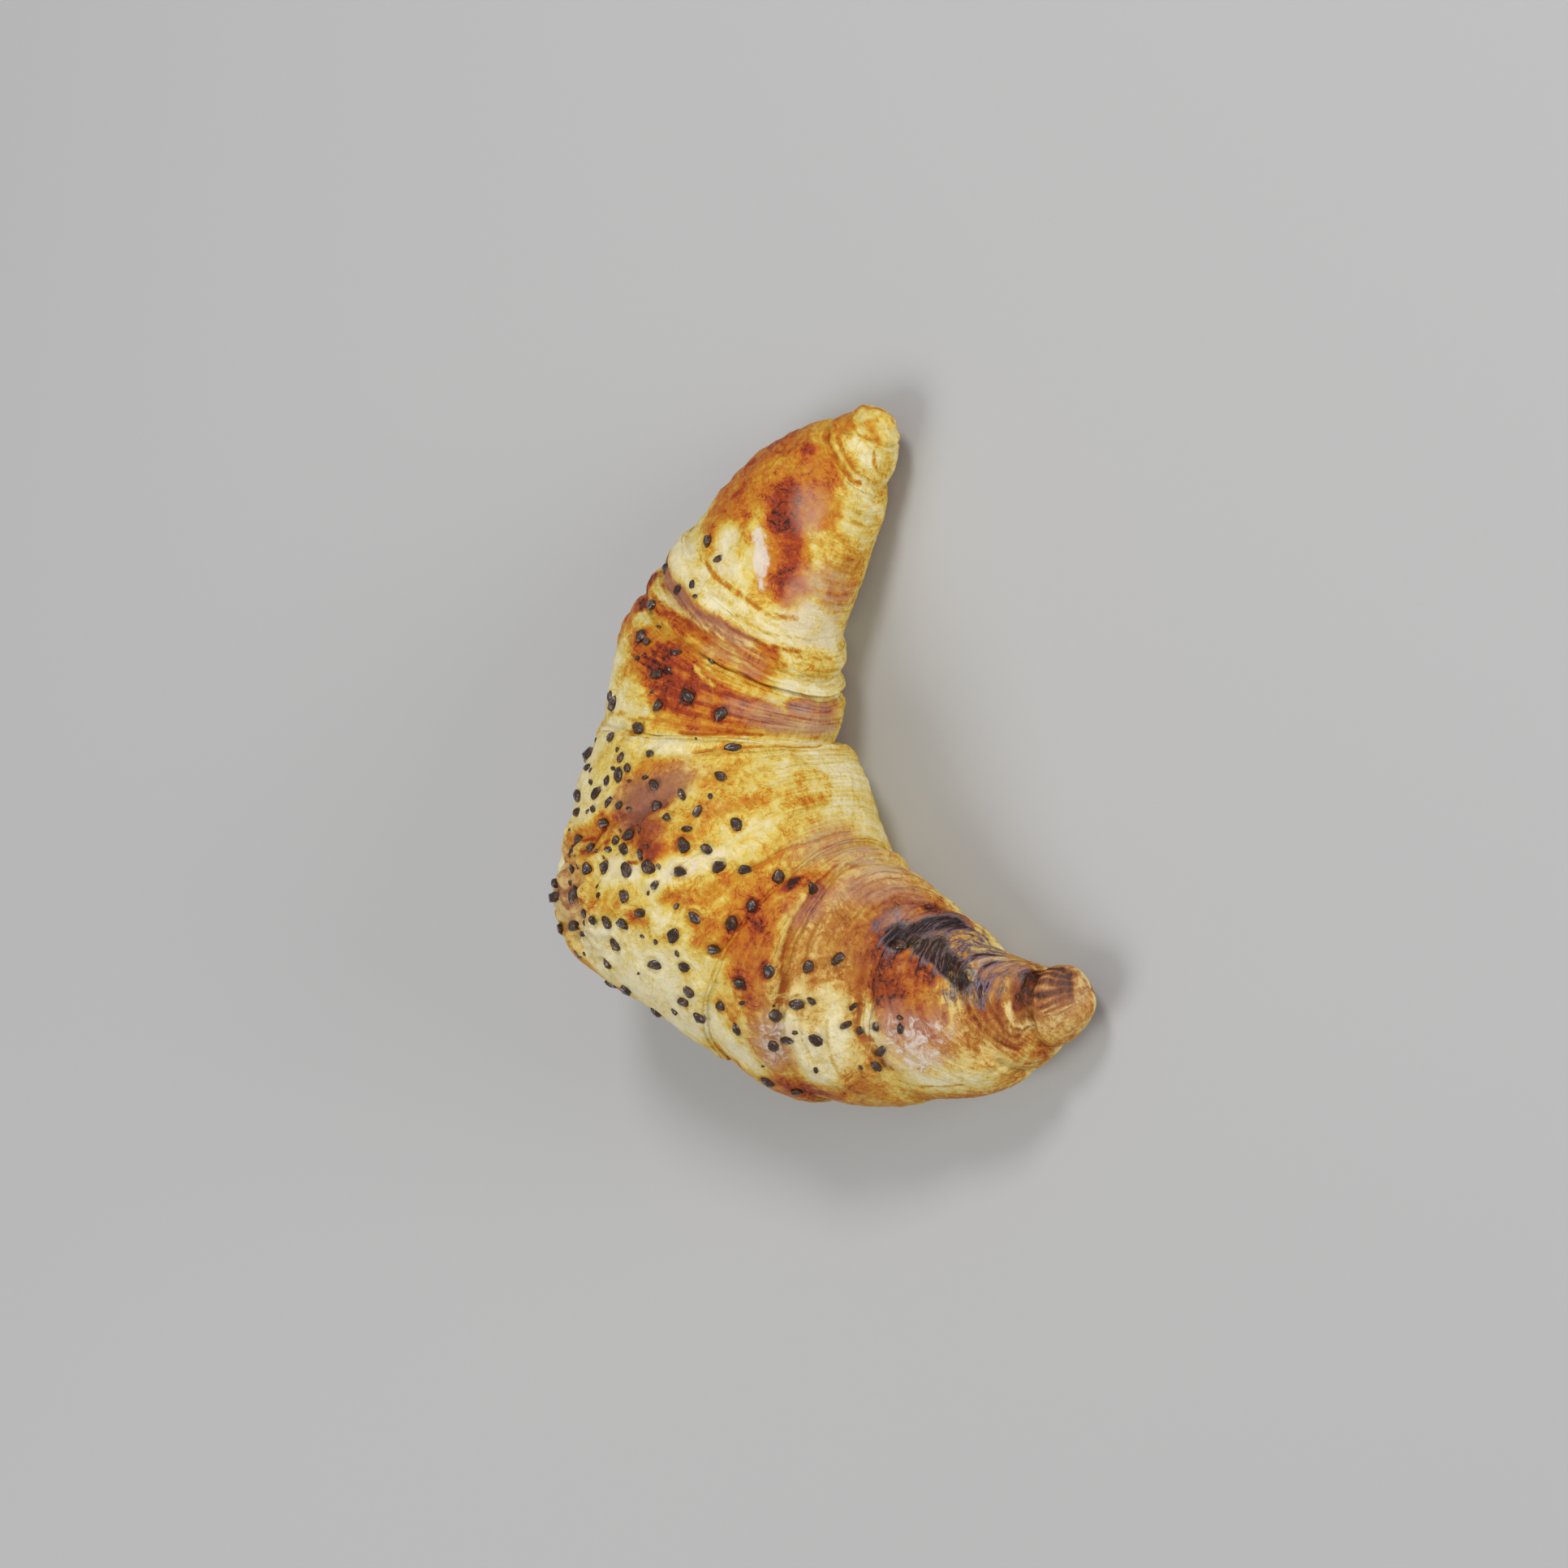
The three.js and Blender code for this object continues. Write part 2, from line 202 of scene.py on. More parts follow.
# Strokes that colour the crust: the value it takes, the stroke's half width in millimetres, and the
# places that it runs through as (along, degrees round the roll).
BAKE_STROKES = (
    # the +X tip and its spiral
    (0.3, 5, ((0.98, -70), (0.98, 0))),
    (0.62, 2.2, ((0.985, 70), (0.95, 45), (0.94, 20))),
    (0.6, 0.8, ((0.975, -6), (0.962, -26), (0.95, -52))),
    (0.06, 2.2, ((0.93, -20), (0.92, -40), (0.91, -60))),
    (0.16, 1.6, ((0.89, 10), (0.88, -14), (0.868, -34), (0.86, -60))),
    # the long +X turn
    (0.6, 4, ((0.86, 26), (0.84, 10))),
    (0.88, 2, ((0.862, 7), (0.856, 2))),
    (0.66, 1.4, ((0.868, -10), (0.85, -30))),
    (0.62, 5, ((0.82, 48), (0.74, 52), (0.66, 48))),
    (0.44, 3.6, ((0.8, 14), (0.75, 12), (0.72, 4))),
    (0.6, 4, ((0.82, -14), (0.79, -34), (0.765, -46))),
    (0.88, 1.3, ((0.73, 30), (0.722, 28))),
    (0.68, 1.5, ((0.715, 16), (0.69, 0), (0.668, -13))),
    (0.3, 2.6, ((0.71, -8), (0.67, -17), (0.64, -20))),
    (0.12, 3, ((0.66, 8), (0.635, 2), (0.63, -8))),
    (0.6, 2.4, ((0.65, 24), (0.615, 22))),
    (0.08, 4, ((0.62, 52), (0.6, 36))),
    (0.06, 3.6, ((0.84, -62), (0.83, -86))),
    (0.18, 2.6, ((0.78, -66), (0.77, -88))),
    (0.36, 1.8, ((0.745, -56), (0.735, -84))),
    (0.24, 4, ((0.73, -50), (0.7, -58))),
    (0.44, 2.4, ((0.7, -64), (0.69, -84))),
    (0.12, 4, ((0.6, -64), (0.59, -92))),
    (0.76, 2.4, ((0.768, -6), (0.735, -20))),
    (0.82, 2.7, ((0.725, -24), (0.7, -33), (0.66, -43), (0.625, -48))),
    # the pale turns beside it
    (0.05, 4.2, ((0.575, 36), (0.565, 4), (0.565, -20), (0.565, -60), (0.56, -92))),
    (0.76, 1.6, ((0.56, 56), (0.54, 36), (0.53, 20), (0.525, 4), (0.52, -10), (0.522, -24))),
    (0.68, 1.2, ((0.522, -24), (0.52, -40), (0.515, -50))),
    (0.2, 1, ((0.51, 30), (0.51, 10), (0.509, -10), (0.509, -34))),
    (0.9, 1.5, ((0.475, 56), (0.48, 36), (0.485, 18))),
    (0.72, 1.3, ((0.485, 18), (0.49, 2), (0.49, -14))),
    (0.98, 1.8, ((0.508, 60), (0.488, 46))),
    # the turn between the pale ones and the middle
    (0.62, 4.5, ((0.44, 56), (0.41, 38), (0.39, 28))),
    (0.2, 2, ((0.462, 36), (0.46, 22), (0.46, 8))),
    (0.72, 3, ((0.43, 22), (0.43, 8), (0.425, -8))),
    (0.62, 1.5, ((0.48, -18), (0.478, -34))),
    (0.4, 3.6, ((0.465, -26), (0.44, -34), (0.425, -46))),
    (0.66, 2.4, ((0.462, -42), (0.455, -54))),
    (0.05, 4.4, ((0.445, -66), (0.45, -100))),
    (0.94, 1.8, ((0.414, -68), (0.41, -82))),
    (0.92, 1.8, ((0.41, -90), (0.42, -102))),
    (0.78, 3.4, ((0.4, 20), (0.395, 4), (0.385, -12))),
    (0.82, 1.8, ((0.4, -18), (0.39, -30), (0.382, -44), (0.374, -58))),
    (0.76, 3.2, ((0.37, -2), (0.355, -20), (0.345, -36))),
    (0.56, 2.6, ((0.36, -48), (0.355, -76))),
    (0.1, 5, ((0.37, 46), (0.34, 34), (0.31, 22))),
    (0.16, 2.6, ((0.335, 14), (0.31, 4))),
    (0.58, 2.4, ((0.315, -16), (0.31, -42))),
    # the middle turn
    (0.12, 2.4, ((0.245, 40), (0.24, 0), (0.25, -30), (0.25, -90))),
    (0.08, 6, ((0.2, 42), (0.15, 46), (0.12, 48))),
    (0.14, 4, ((0.2, 16), (0.17, 18), (0.14, 22))),
    (0.28, 6, ((0.16, -32), (0.13, -46), (0.1, -60))),
    (0.44, 2.2, ((0.14, -30), (0.12, -40))),
    (0.1, 8, ((0.14, -86), (0.05, -88), (-0.05, -92), (-0.15, -94))),
    (0.5, 2.6, ((0.19, -4), (0.18, -18))),
    (0.8, 3.8, ((0.128, -4), (0.132, -12), (0.142, -19))),
    (0.42, 2.6, ((0.03, -30), (0.012, -42), (0.0, -52))),
    (0.4, 2.4, ((-0.04, -62), (-0.08, -74))),
    (0.46, 2.4, ((-0.015, -22), (-0.045, -32))),
    (0.14, 4, ((-0.07, -40), (-0.12, -48))),
    (0.06, 3.4, ((-0.085, -14), (-0.11, -22), (-0.13, -30))),
    (0.84, 1.6, ((0.092, 40), (0.096, 20), (0.1, 3), (0.096, -8), (0.1, -15))),
    (0.84, 2.8, ((0.085, -6), (0.055, -9), (0.02, -12), (-0.002, -13))),
    (0.44, 4.5, ((0.06, 38), (0.055, 24), (0.06, 12))),
    (0.12, 2.8, ((0.03, 10), (0.005, 3), (-0.02, -3))),
    (0.34, 5, ((0.02, 44), (0.0, 36), (-0.02, 26))),
    (0.5, 2.8, ((-0.045, 20), (-0.06, 14))),
    (0.02, 6.5, ((-0.125, 24), (-0.12, 40), (-0.2, 44), (-0.2, 26))),
    (0.08, 3, ((-0.15, 6), (-0.185, 2))),
    (0.5, 1.6, ((-0.105, 8), (-0.13, 9))),
    (0.46, 3, ((-0.06, 56), (-0.12, 64))),
    (0.52, 1.9, ((-0.135, -6), (-0.17, -8), (-0.195, -14), (-0.205, -23))),
    (0.5, 2.6, ((-0.205, -26), (-0.222, -38))),
    (0.16, 3, ((-0.2, -2), (-0.215, 8))),
    (0.44, 2.6, ((-0.235, -6), (-0.26, -2))),
    (0.04, 5, ((-0.25, 32), (-0.27, 46), (-0.22, 56))),
    # the -X arm
    (0.52, 3.4, ((-0.25, -32), (-0.265, -20), (-0.28, -8))),
    (0.68, 3.8, ((-0.305, -22), (-0.33, -8), (-0.365, 0), (-0.36, 8))),
    (0.97, 1.4, ((-0.303, -40), (-0.297, -45))),
    (0.82, 1.5, ((-0.31, -22), (-0.318, -18))),
    (0.84, 1.7, ((-0.368, -7), (-0.376, -3))),
    (0.18, 3.6, ((-0.32, 14), (-0.29, 18))),
    (0.4, 2.6, ((-0.33, 26), (-0.36, 22))),
    (0.1, 5, ((-0.34, 44), (-0.38, 50))),
    (0.36, 7, ((-0.27, -72), (-0.33, -82), (-0.42, -84))),
    (0.68, 3, ((-0.385, -32), (-0.4, -42), (-0.41, -48))),
    (0.24, 1.1, ((-0.418, 4), (-0.4, -8), (-0.38, -18), (-0.362, -30), (-0.345, -44))),
    (0.56, 5, ((-0.44, -32), (-0.49, -28), (-0.46, -14))),
    (0.52, 4.5, ((-0.44, -56), (-0.5, -58), (-0.55, -60))),
    (0.5, 3, ((-0.52, -22), (-0.53, -8))),
    (0.2, 2.6, ((-0.54, 0), (-0.55, 8))),
    (0.12, 3, ((-0.468, 4), (-0.478, 18))),
    (0.06, 3.2, ((-0.575, 10), (-0.58, 32))),
    (0.08, 3.2, ((-0.51, 22), (-0.52, 36), (-0.54, 46))),
    (0.78, 2.4, ((-0.45, 58), (-0.48, 64), (-0.53, 70))),
    (0.42, 3.4, ((-0.6, 64), (-0.7, 66))),
    (0.6, 2.2, ((-0.592, -30), (-0.596, -14))),
    (0.08, 1.1, ((-0.622, -8), (-0.628, 6), (-0.642, 22), (-0.668, 38))),
    (0.72, 4.8, ((-0.64, -30), (-0.66, -20), (-0.7, -24), (-0.735, -18))),
    (0.83, 2.4, ((-0.625, -34), (-0.66, -36), (-0.7, -34))),
    (0.84, 2.2, ((-0.64, -14), (-0.65, -7))),
    (0.5, 2, ((-0.71, -14), (-0.72, -9))),
    (0.74, 2.4, ((-0.7, -3), (-0.74, 2))),
    (0.24, 6, ((-0.7, 40), (-0.76, 46))),
    (0.1, 2.6, ((-0.7, 54), (-0.78, 54))),
    (0.4, 2.6, ((-0.758, -22), (-0.775, -2), (-0.79, 14), (-0.8, 30))),
    (0.88, 4, ((-0.615, -50), (-0.64, -60), (-0.67, -74), (-0.68, -88))),
    (0.44, 2.6, ((-0.74, -68), (-0.75, -84))),
    (0.4, 3, ((-0.785, -70), (-0.79, -50), (-0.79, -34))),
    (0.84, 2.4, ((-0.815, -58), (-0.825, -36))),
    (0.62, 2, ((-0.85, -60), (-0.855, -30), (-0.86, -4))),
    (0.14, 1.3, ((-0.866, -14), (-0.878, 8), (-0.888, 24))),
    (0.96, 1.7, ((-0.887, -68), (-0.886, -38))),
    (0.5, 4, ((-0.92, 0), (-0.95, 16))),
    (0.58, 2.6, ((-0.93, -22), (-0.975, -6))),
    (0.44, 4, ((-0.92, 48), (-0.96, 50))),
    # stripes that run up the stub of the -X tip, and the dark ring round its foot
    (1.0, 0.7, ((-0.9, -74), (-0.94, -68), (-0.975, -58))),
    (1.0, 0.62, ((-0.9, -56), (-0.94, -51), (-0.975, -43))),
    (1.0, 0.56, ((-0.9, -39), (-0.945, -34), (-0.98, -28))),
    (0.98, 0.5, ((-0.9, -23), (-0.95, -19), (-0.98, -16))),
    (0.9, 0.4, ((-0.91, -7), (-0.955, -4), (-0.98, -2))),
    (1.0, 0.9, ((-0.884, -78), (-0.886, -40), (-0.886, -14))),
)

# Thin lines where a turn was rolled over the last, or the dough was stretched.
LINE_STROKES = (
    (0.78, 0.29, ((0.9, 22), (0.885, -8), (0.872, -28), (0.862, -44), (0.858, -64))),
    (0.74, 0.29, ((0.92, 14), (0.902, -12), (0.89, -30), (0.878, -52), (0.873, -72))),
    (0.6, 0.19, ((0.895, 4), (0.88, -20), (0.868, -42))),
    (0.62, 0.26, PALE_TIP_LIP),
    (0.5, 0.19, ((0.935, 30), (0.93, 8), (0.935, -12))),
    (0.66, 0.26, ((0.93, -52), (0.915, -64), (0.9, -78))),
    (0.52, 0.26, ((0.8, -66), (0.795, -88))),
    (0.46, 0.22, ((0.815, -70), (0.812, -90))),
    (0.6, 0.26, ((0.84, 44), (0.78, 40), (0.72, 42))),
    (0.6, 0.26, ((0.82, 26), (0.77, 22))),
    (0.64, 0.29, ((0.79, -46), (0.77, -58))),
    (0.74, 0.4, ((0.607, 14), (0.595, -4), (0.588, -18), (0.586, -32), (0.59, -46), (0.596, -60))),
    (0.5, 0.19, ((0.555, -20), (0.55, -46), (0.555, -80))),
    (0.92, 0.33, ((0.545, 46), (0.527, 26), (0.516, 4), (0.513, -14), (0.514, -30))),
    (0.88, 0.26, (
        (0.56, 50), (0.542, 26), (0.535, 6), (0.53, -12), (0.531, -30), (0.527, -46), (0.53, -66),
    )),
    (0.62, 0.22, ((0.527, -56), (0.522, -72), (0.528, -94))),
    (0.84, 0.33, ((0.51, 40), (0.502, 14), (0.502, -2), (0.5, -18), (0.503, -36), (0.5, -58))),
    (0.56, 0.19, ((0.512, -44), (0.508, -66), (0.51, -90))),
    (0.52, 0.22, ((0.49, -46), (0.482, -70), (0.486, -94))),
    (0.2, 0.4, ((0.432, -12), (0.418, -18), (0.405, -26))),
    (0.22, 0.33, ((0.445, -14), (0.428, -24))),
    (0.82, 0.4, ((0.405, 12), (0.4, 0), (0.39, -8))),
    (0.9, 0.33, ((0.37, -6), (0.355, -24), (0.345, -44), (0.345, -66))),
    (0.84, 0.33, ((0.345, 4), (0.33, -14), (0.325, -34), (0.328, -56))),
    (0.8, 0.4, ((0.282, -18), (0.286, -38), (0.284, -56))),
    (0.62, 0.26, ((0.3, 36), (0.298, 12), (0.3, -10))),
    (0.66, 0.47, ((0.225, -26), (0.232, -40), (0.235, -62), (0.24, -86))),
    (0.52, 0.22, ((0.205, -26), (0.208, -60), (0.212, -88))),
    (0.42, 0.19, ((0.12, -66), (0.118, -94))),
    (0.4, 0.19, ((0.03, -70), (0.025, -94))),
    (0.96, 0.33, ((0.088, 44), (0.092, 26), (0.094, 12))),
    (0.94, 0.33, ((0.104, 4), (0.098, -6), (0.106, -16))),
    (0.9, 0.42, ((0.05, 42), (0.03, 36), (0.034, 28), (0.015, 24))),
    (0.9, 0.42, ((0.012, 36), (0.0, 30), (0.008, 24), (-0.012, 20))),
    (0.88, 0.4, ((0.072, 20), (0.06, 14), (0.064, 6))),
    (0.9, 0.45, ((0.004, -2), (-0.012, -6), (-0.014, -10))),
    (0.66, 0.26, ((-0.13, 5), (-0.15, 9), (-0.172, 13))),
    (0.36, 0.22, ((-0.088, -14), (-0.082, -22), (-0.094, -27), (-0.11, -26))),
    (0.44, 0.22, ((-0.1, -60), (-0.105, -78))),
    (0.64, 0.47, HOLLOW_CREASE),
    (0.8, 0.47, ARM_RING),
    (0.66, 0.26, ((-0.428, 26), (-0.41, 2), (-0.388, -10), (-0.37, -22), (-0.355, -32))),
    (0.62, 0.22, ((-0.46, -10), (-0.44, -24), (-0.425, -40))),
    (0.74, 0.4, ((-0.44, -72), (-0.455, -80), (-0.48, -88))),
    (0.6, 0.2, ((-0.455, 22), (-0.445, 4), (-0.418, -10), (-0.4, -22), (-0.385, -34))),
    (0.62, 0.2, ((-0.48, -66), (-0.5, -78), (-0.52, -90))),
    (0.66, 0.25, ((-0.53, -62), (-0.555, -76), (-0.57, -90))),
    (0.66, 0.26, ((-0.36, -66), (-0.38, -78), (-0.4, -92))),
    (0.6, 0.26, ((-0.3, -62), (-0.32, -76), (-0.335, -92))),
    (0.46, 0.26, ((-0.488, 6), (-0.5, 22), (-0.53, 38))),
    (0.44, 0.26, ((-0.555, 12), (-0.56, 28), (-0.58, 44))),
    (0.76, 0.47, BUMPY_RING),
    (0.62, 0.26, ((-0.585, -20), (-0.588, -4), (-0.592, 8))),
    (0.9, 0.33, ((-0.75, -8), (-0.754, 6))),
    (0.94, 0.54, CHARRED_RING),
    (0.8, 0.4, ((-0.785, -32), (-0.802, -12), (-0.822, 6), (-0.85, 22), (-0.875, 34))),
    (0.84, 0.4, CHARRED_TIP_RING),
    (0.8, 0.29, ((-0.835, -28), (-0.85, -10), (-0.872, 10), (-0.89, 26))),
    (0.8, 0.33, ((-0.882, -30), (-0.888, -8), (-0.898, 16))),
    (1.0, 0.55, ((-0.905, -72), (-0.94, -66), (-0.975, -56))),
    (1.0, 0.5, ((-0.905, -55), (-0.94, -50), (-0.975, -42))),
    (1.0, 0.46, ((-0.905, -38), (-0.945, -34), (-0.98, -28))),
    (0.98, 0.4, ((-0.91, -22), (-0.95, -20), (-0.98, -16))),
    (0.9, 0.3, ((-0.92, -6), (-0.955, -8), (-0.98, -4))),
    (0.84, 0.22, ((-0.925, 6), (-0.96, 5), (-0.98, 8))),
    (0.8, 0.1, ((-0.92, 15), (-0.95, 18), (-0.975, 20))),
    (0.6, 0.26, ((-0.66, 50), (-0.7, 58), (-0.76, 60))),
    (0.44, 0.26, ((-0.74, 34), (-0.77, 44), (-0.82, 50))),
)

# Dusky rose, tan and blackened patches, and the pale lilac-white patches of painted highlight: strength,
# half width and places.
ROSE_STROKES = (
    (1.0, 5, ((0.635, -66), (0.63, -84))),
    (0.5, 4, ((0.6, -62), (0.6, -84))),
    (0.6, 2.6, ((0.79, -24), (0.765, -34))),
    (0.6, 1.4, ((0.56, 56), (0.53, 20), (0.52, -10), (0.522, -30))),
    (0.6, 2.2, ((0.485, -18), (0.478, -40))),
    (0.95, 4, ((0.355, -58), (0.345, -98))),
    (0.6, 2.4, ((0.375, -40), (0.36, -54))),
    (1.0, 2, ((0.414, -70), (0.41, -80))),
    (1.0, 2, ((0.41, -90), (0.42, -102))),
    (0.3, 4.2, DUSKY_PATCH),
    (0.35, 6, ((0.03, 40), (0.0, 34))),
    (0.9, 7, ((-0.27, -72), (-0.33, -82), (-0.42, -84))),
    (0.7, 4, ((-0.42, -60), (-0.52, -66), (-0.58, -74))),
    (0.5, 3, ((-0.385, -34), (-0.4, -46))),
    (0.7, 3, ((-0.615, -52), (-0.65, -66))),
    (0.8, 4, ((-0.68, 10), (-0.72, 12), (-0.7, 26))),
    (0.6, 3.6, HIGHLIGHT_FOLD),
    (0.8, 2.4, ((-0.79, -64), (-0.85, -64))),
    (0.7, 2.2, ((-0.815, -56), (-0.825, -36))),
    (0.25, 5, ((-0.94, -20), (-0.96, 20))),
)
TAN_STROKES = (
    (0.75, 4.6, DUSKY_PATCH),
    (0.5, 3, ((0.085, -6), (0.055, -9), (0.02, -12))),
    (0.6, 8, ((0.05, 40), (0.0, 36))),
    (0.5, 4, ((0.36, -58), (0.345, -98))),
    (0.6, 1.6, ((0.56, 56), (0.53, 20), (0.52, -10), (0.522, -36))),
)
CHAR_STROKES = (
    (0.62, 4.6, ((-0.625, -46), (-0.66, -60), (-0.7, -74), (-0.71, -90))),
    (0.6, 3.6, ((-0.74, -50), (-0.75, -70), (-0.755, -90))),
    (0.6, 3.8, ((-0.77, -18), (-0.78, -40), (-0.775, -60), (-0.78, -84))),
    (0.56, 3, ((-0.815, -22), (-0.82, -48), (-0.815, -76))),
    (0.54, 2.4, ((-0.85, -34), (-0.855, -60), (-0.85, -76))),
    (0.95, 2.6, ((-0.635, -43), (-0.675, -46), (-0.71, -50), (-0.735, -44), (-0.755, -34))),
    (0.95, 1.6, ((-0.65, -57), (-0.68, -70), (-0.7, -86))),
)
# Painted highlights: pale lilac-white patches where light glints on the crust.
PAINTED_HIGHLIGHT_STROKES = (
    (1.0, 1.1, ((0.696, -11), (0.67, -20), (0.648, -26), (0.632, -31))),
    (0.5, 2.4, ((0.65, 4), (0.625, -2))),
    (0.5, 2.4, ((-0.085, -16), (-0.11, -22), (-0.125, -30))),
    (0.4, 2.4, ((0.02, 4), (0.0, -1))),
    (0.5, 3.6, HIGHLIGHT_FOLD),
    (0.6, 4, ((-0.7, 13), (-0.725, 17), (-0.7, 24), (-0.71, 31))),
    (0.6, 1.6, ((-0.775, -66), (-0.79, -48), (-0.792, -34))),
)

# Ridges and hollows of the crust: height, half width and places.
RELIEF_STROKES = (
    (-1.3, 1.1, ((0.09, 44), (0.092, 26), (0.1, 4), (0.096, -8), (0.104, -17))),
    (0.9, 2, ((0.115, 34), (0.118, 12), (0.12, -6))),
    (0.8, 2, ((0.07, 36), (0.072, 14), (0.074, 0))),
    (0.9, 3.4, ((0.02, 40), (-0.01, 28))),
    (0.8, 2.6, ((0.055, -8), (0.02, -11), (0.0, -14))),
    (0.6, 2.4, ((-0.045, 20), (-0.06, 12))),
    (-0.5, 1.6, ((-0.135, -6), (-0.17, -8), (-0.2, -18))),
    (-0.6, 1.8, ((0.41, -68), (0.415, -102))),
    (-0.5, 1.4, ((0.765, -5), (0.712, -29), (0.64, -44))),
    (0.5, 1.5, ((0.74, 0), (0.69, -17), (0.635, -34))),
    (0.5, 3, ((-0.68, -18), (-0.72, -8))),
    (-0.5, 0.8, CHARRED_RING),
    (0.4, 0.8, ((-0.778, -30), (-0.795, -8), (-0.812, 8), (-0.845, 26))),
    (-0.4, 0.7, CHARRED_TIP_RING),
    (-0.55, 0.8, ARM_RING[:-1]),
    (0.5, 1, ((-0.43, 26), (-0.415, 2), (-0.39, -12), (-0.372, -24), (-0.358, -34), (-0.345, -48))),
    (-0.5, 0.8, BUMPY_RING),
    (0.55, 1, ((-0.612, -20), (-0.62, -8), (-0.627, 6), (-0.642, 22), (-0.668, 38))),
    (-0.5, 0.7, ((0.9, 22), (0.885, -8), (0.872, -28), (0.858, -60))),
    (-0.5, 0.7, ((0.92, 14), (0.902, -12), (0.89, -30), (0.873, -70))),
    (-0.9, 1.2, ((-0.888, -100), (-0.888, 0), (-0.888, 80))),
    (-0.4, 0.7, PALE_TIP_LIP),
    (-0.35, 0.6, ((0.56, 50), (0.535, 6), (0.531, -30), (0.53, -66), (0.53, -92))),
    (-0.4, 0.7, ((0.225, -26), (0.232, -40), (0.235, -62), (0.24, -84))),
    (-0.4, 0.8, HOLLOW_CREASE),
)
# ---------------------------------------------------------------- where the seeds lie

# Drifts of seeds on the crust, as (along, degrees), spread in millimetres and share.
SEED_DRIFTS = (
    ((0.07, 2), 7, 0.26),
    ((0.2, 8), 9, 0.18),
    ((0.0, 22), 8, 0.14),
    ((-0.1, -6), 11, 0.1),
    ((-0.2, 18), 9, 0.12),
    ((0.38, 2), 8, 0.09),
    ((-0.36, 12), 8, 0.06),
    ((-0.5, 12), 7, 0.04),
    ((-0.65, 8), 5, 0.03),
    ((0.58, 10), 4, 0.02),
)
SEEDED_ALONG, SEEDED_DEGREES = (-0.74, 0.62), (-46, 58)
SEED_ROLL_RADIUS = 24  # turns a drift's spread into an angle
SEED_TRIES = 20000
SEED_CROWDING = 0.95
LARGE_SIZES = ((1.5, 2.05), (1.15, 1.5), (0.75, 1.0))  # least and most of each half size
MEDIUM_RADII, CHIP_RADII = (1.1, 1.85), (0.4, 0.95)
WIDTH_SHARES, THICKNESS_SHARES = (0.55, 0.9), (0.4, 0.7)
SEED_TILT = 0.16
POCKET_WIDTH, POCKET_DEPTH = 1.05, 0.45


def linear(code):
    """Six hex digits as Blender's linear red, green and blue."""
    parts = [int(code[i:i + 2], 16) / 255 for i in (0, 2, 4)]
    return tuple(p / 12.92 if p <= 0.04045 else ((p + 0.055) / 1.055) ** 2.4 for p in parts)


def colour(name, description, code):
    return FloatVectorProperty(
        name=name, description=description, default=linear(code), subtype="COLOR", min=0, max=1
    )


def length(name, description, default):
    return FloatProperty(
        name=name, description=description, default=default * MM, unit="LENGTH", min=0
    )


class LoafSettings(bpy.types.PropertyGroup):
    """Shape of the crust."""

    columns: IntProperty(
        name="Columns", description="Points round the roll", default=240, min=64, max=400
    )
    row_step: length("Row step", "Distance between rows of points along the roll", 0.64)
    lump_height: length("Lump height", "Height of the broad lumps of the crust", 0.6)
    streak_height: length("Streak height", "Height of the fine ridges that run round the roll", 0.13)


class CrustFinish(bpy.types.PropertyGroup):
    """Colours of the baked crust."""

    cream: colour("Cream", "Palest dough", "e8dcb2")
    butter: colour("Butter", "Lightly baked dough", "dabf58")
    gold: colour("Gold", "Golden crust", "cc9524")
    orange: colour("Orange", "Well baked crust", "bd680c")
    chestnut: colour("Chestnut", "Dark crust", "a23808")
    burnt: colour("Burnt", "Burnt crust", "34120a")
    tan_light: colour("Light tan", "Pale baked crust of the -X arm", "d2b478")
    tan: colour("Tan", "Baked crust of the -X arm", "aa7838")
    tan_dark: colour("Dark tan", "Well baked crust of the -X arm", "844618")
    rose: colour("Rose", "Dusky patches", "c09a82")
    # Pale lilac-white colour of the painted highlights, where light glints on the crust.
    painted_highlight: colour("Flour", "Pale floury patches", "e4d8cc")


class SeedSettings(bpy.types.PropertyGroup):
    """Seeds stuck to the crust."""

    medium_count: IntProperty(
        name="Medium seeds", description="How many medium seeds", default=70, min=0, max=200
    )
    small_count: IntProperty(
        name="Small seeds", description="How many chips of seed", default=46, min=0, max=300
    )
    colour: colour("Colour", "Dark skin of the seeds", "30190d")
    worn: colour("Worn colour", "Worn edges of the seeds", "6e4a2e")


class StageSettings(bpy.types.PropertyGroup):
    """Camera, lights and floor."""

    distance: FloatProperty(
        name="Distance", description="From the camera to the croissant", default=0.8, unit="LENGTH"
    )
    lens: FloatProperty(
        name="Lens", description="Focal length of the camera in millimetres", default=85, min=20
    )
    floor: colour("Floor", "Plain pale floor", "b8b8b8")


# ---------------------------------------------------------------- numbers that vary smoothly


def through(values, along):
    """A smooth curve through evenly spaced values."""
    values = np.asarray(values, float)
    last = len(values) - 1
    place = np.clip((np.asarray(along) + 1) / 2 * last, 0, last - 1e-9)
    i = np.floor(place).astype(int)
    w = place - i
    padded = np.concatenate(([2 * values[0] - values[1]], values, [2 * values[-1] - values[-2]]))
    a, b, c, d = (padded[i + k] for k in range(4))
    return 0.5 * (
        2 * b + (c - a) * w + (2 * a - 5 * b + 4 * c - d) * w ** 2 + (3 * b - a - 3 * c + d) * w ** 3
    )


def smoothstep(low, high, value):
    t = np.clip((value - low) / (high - low), 0, 1)
    return t * t * (3 - 2 * t)


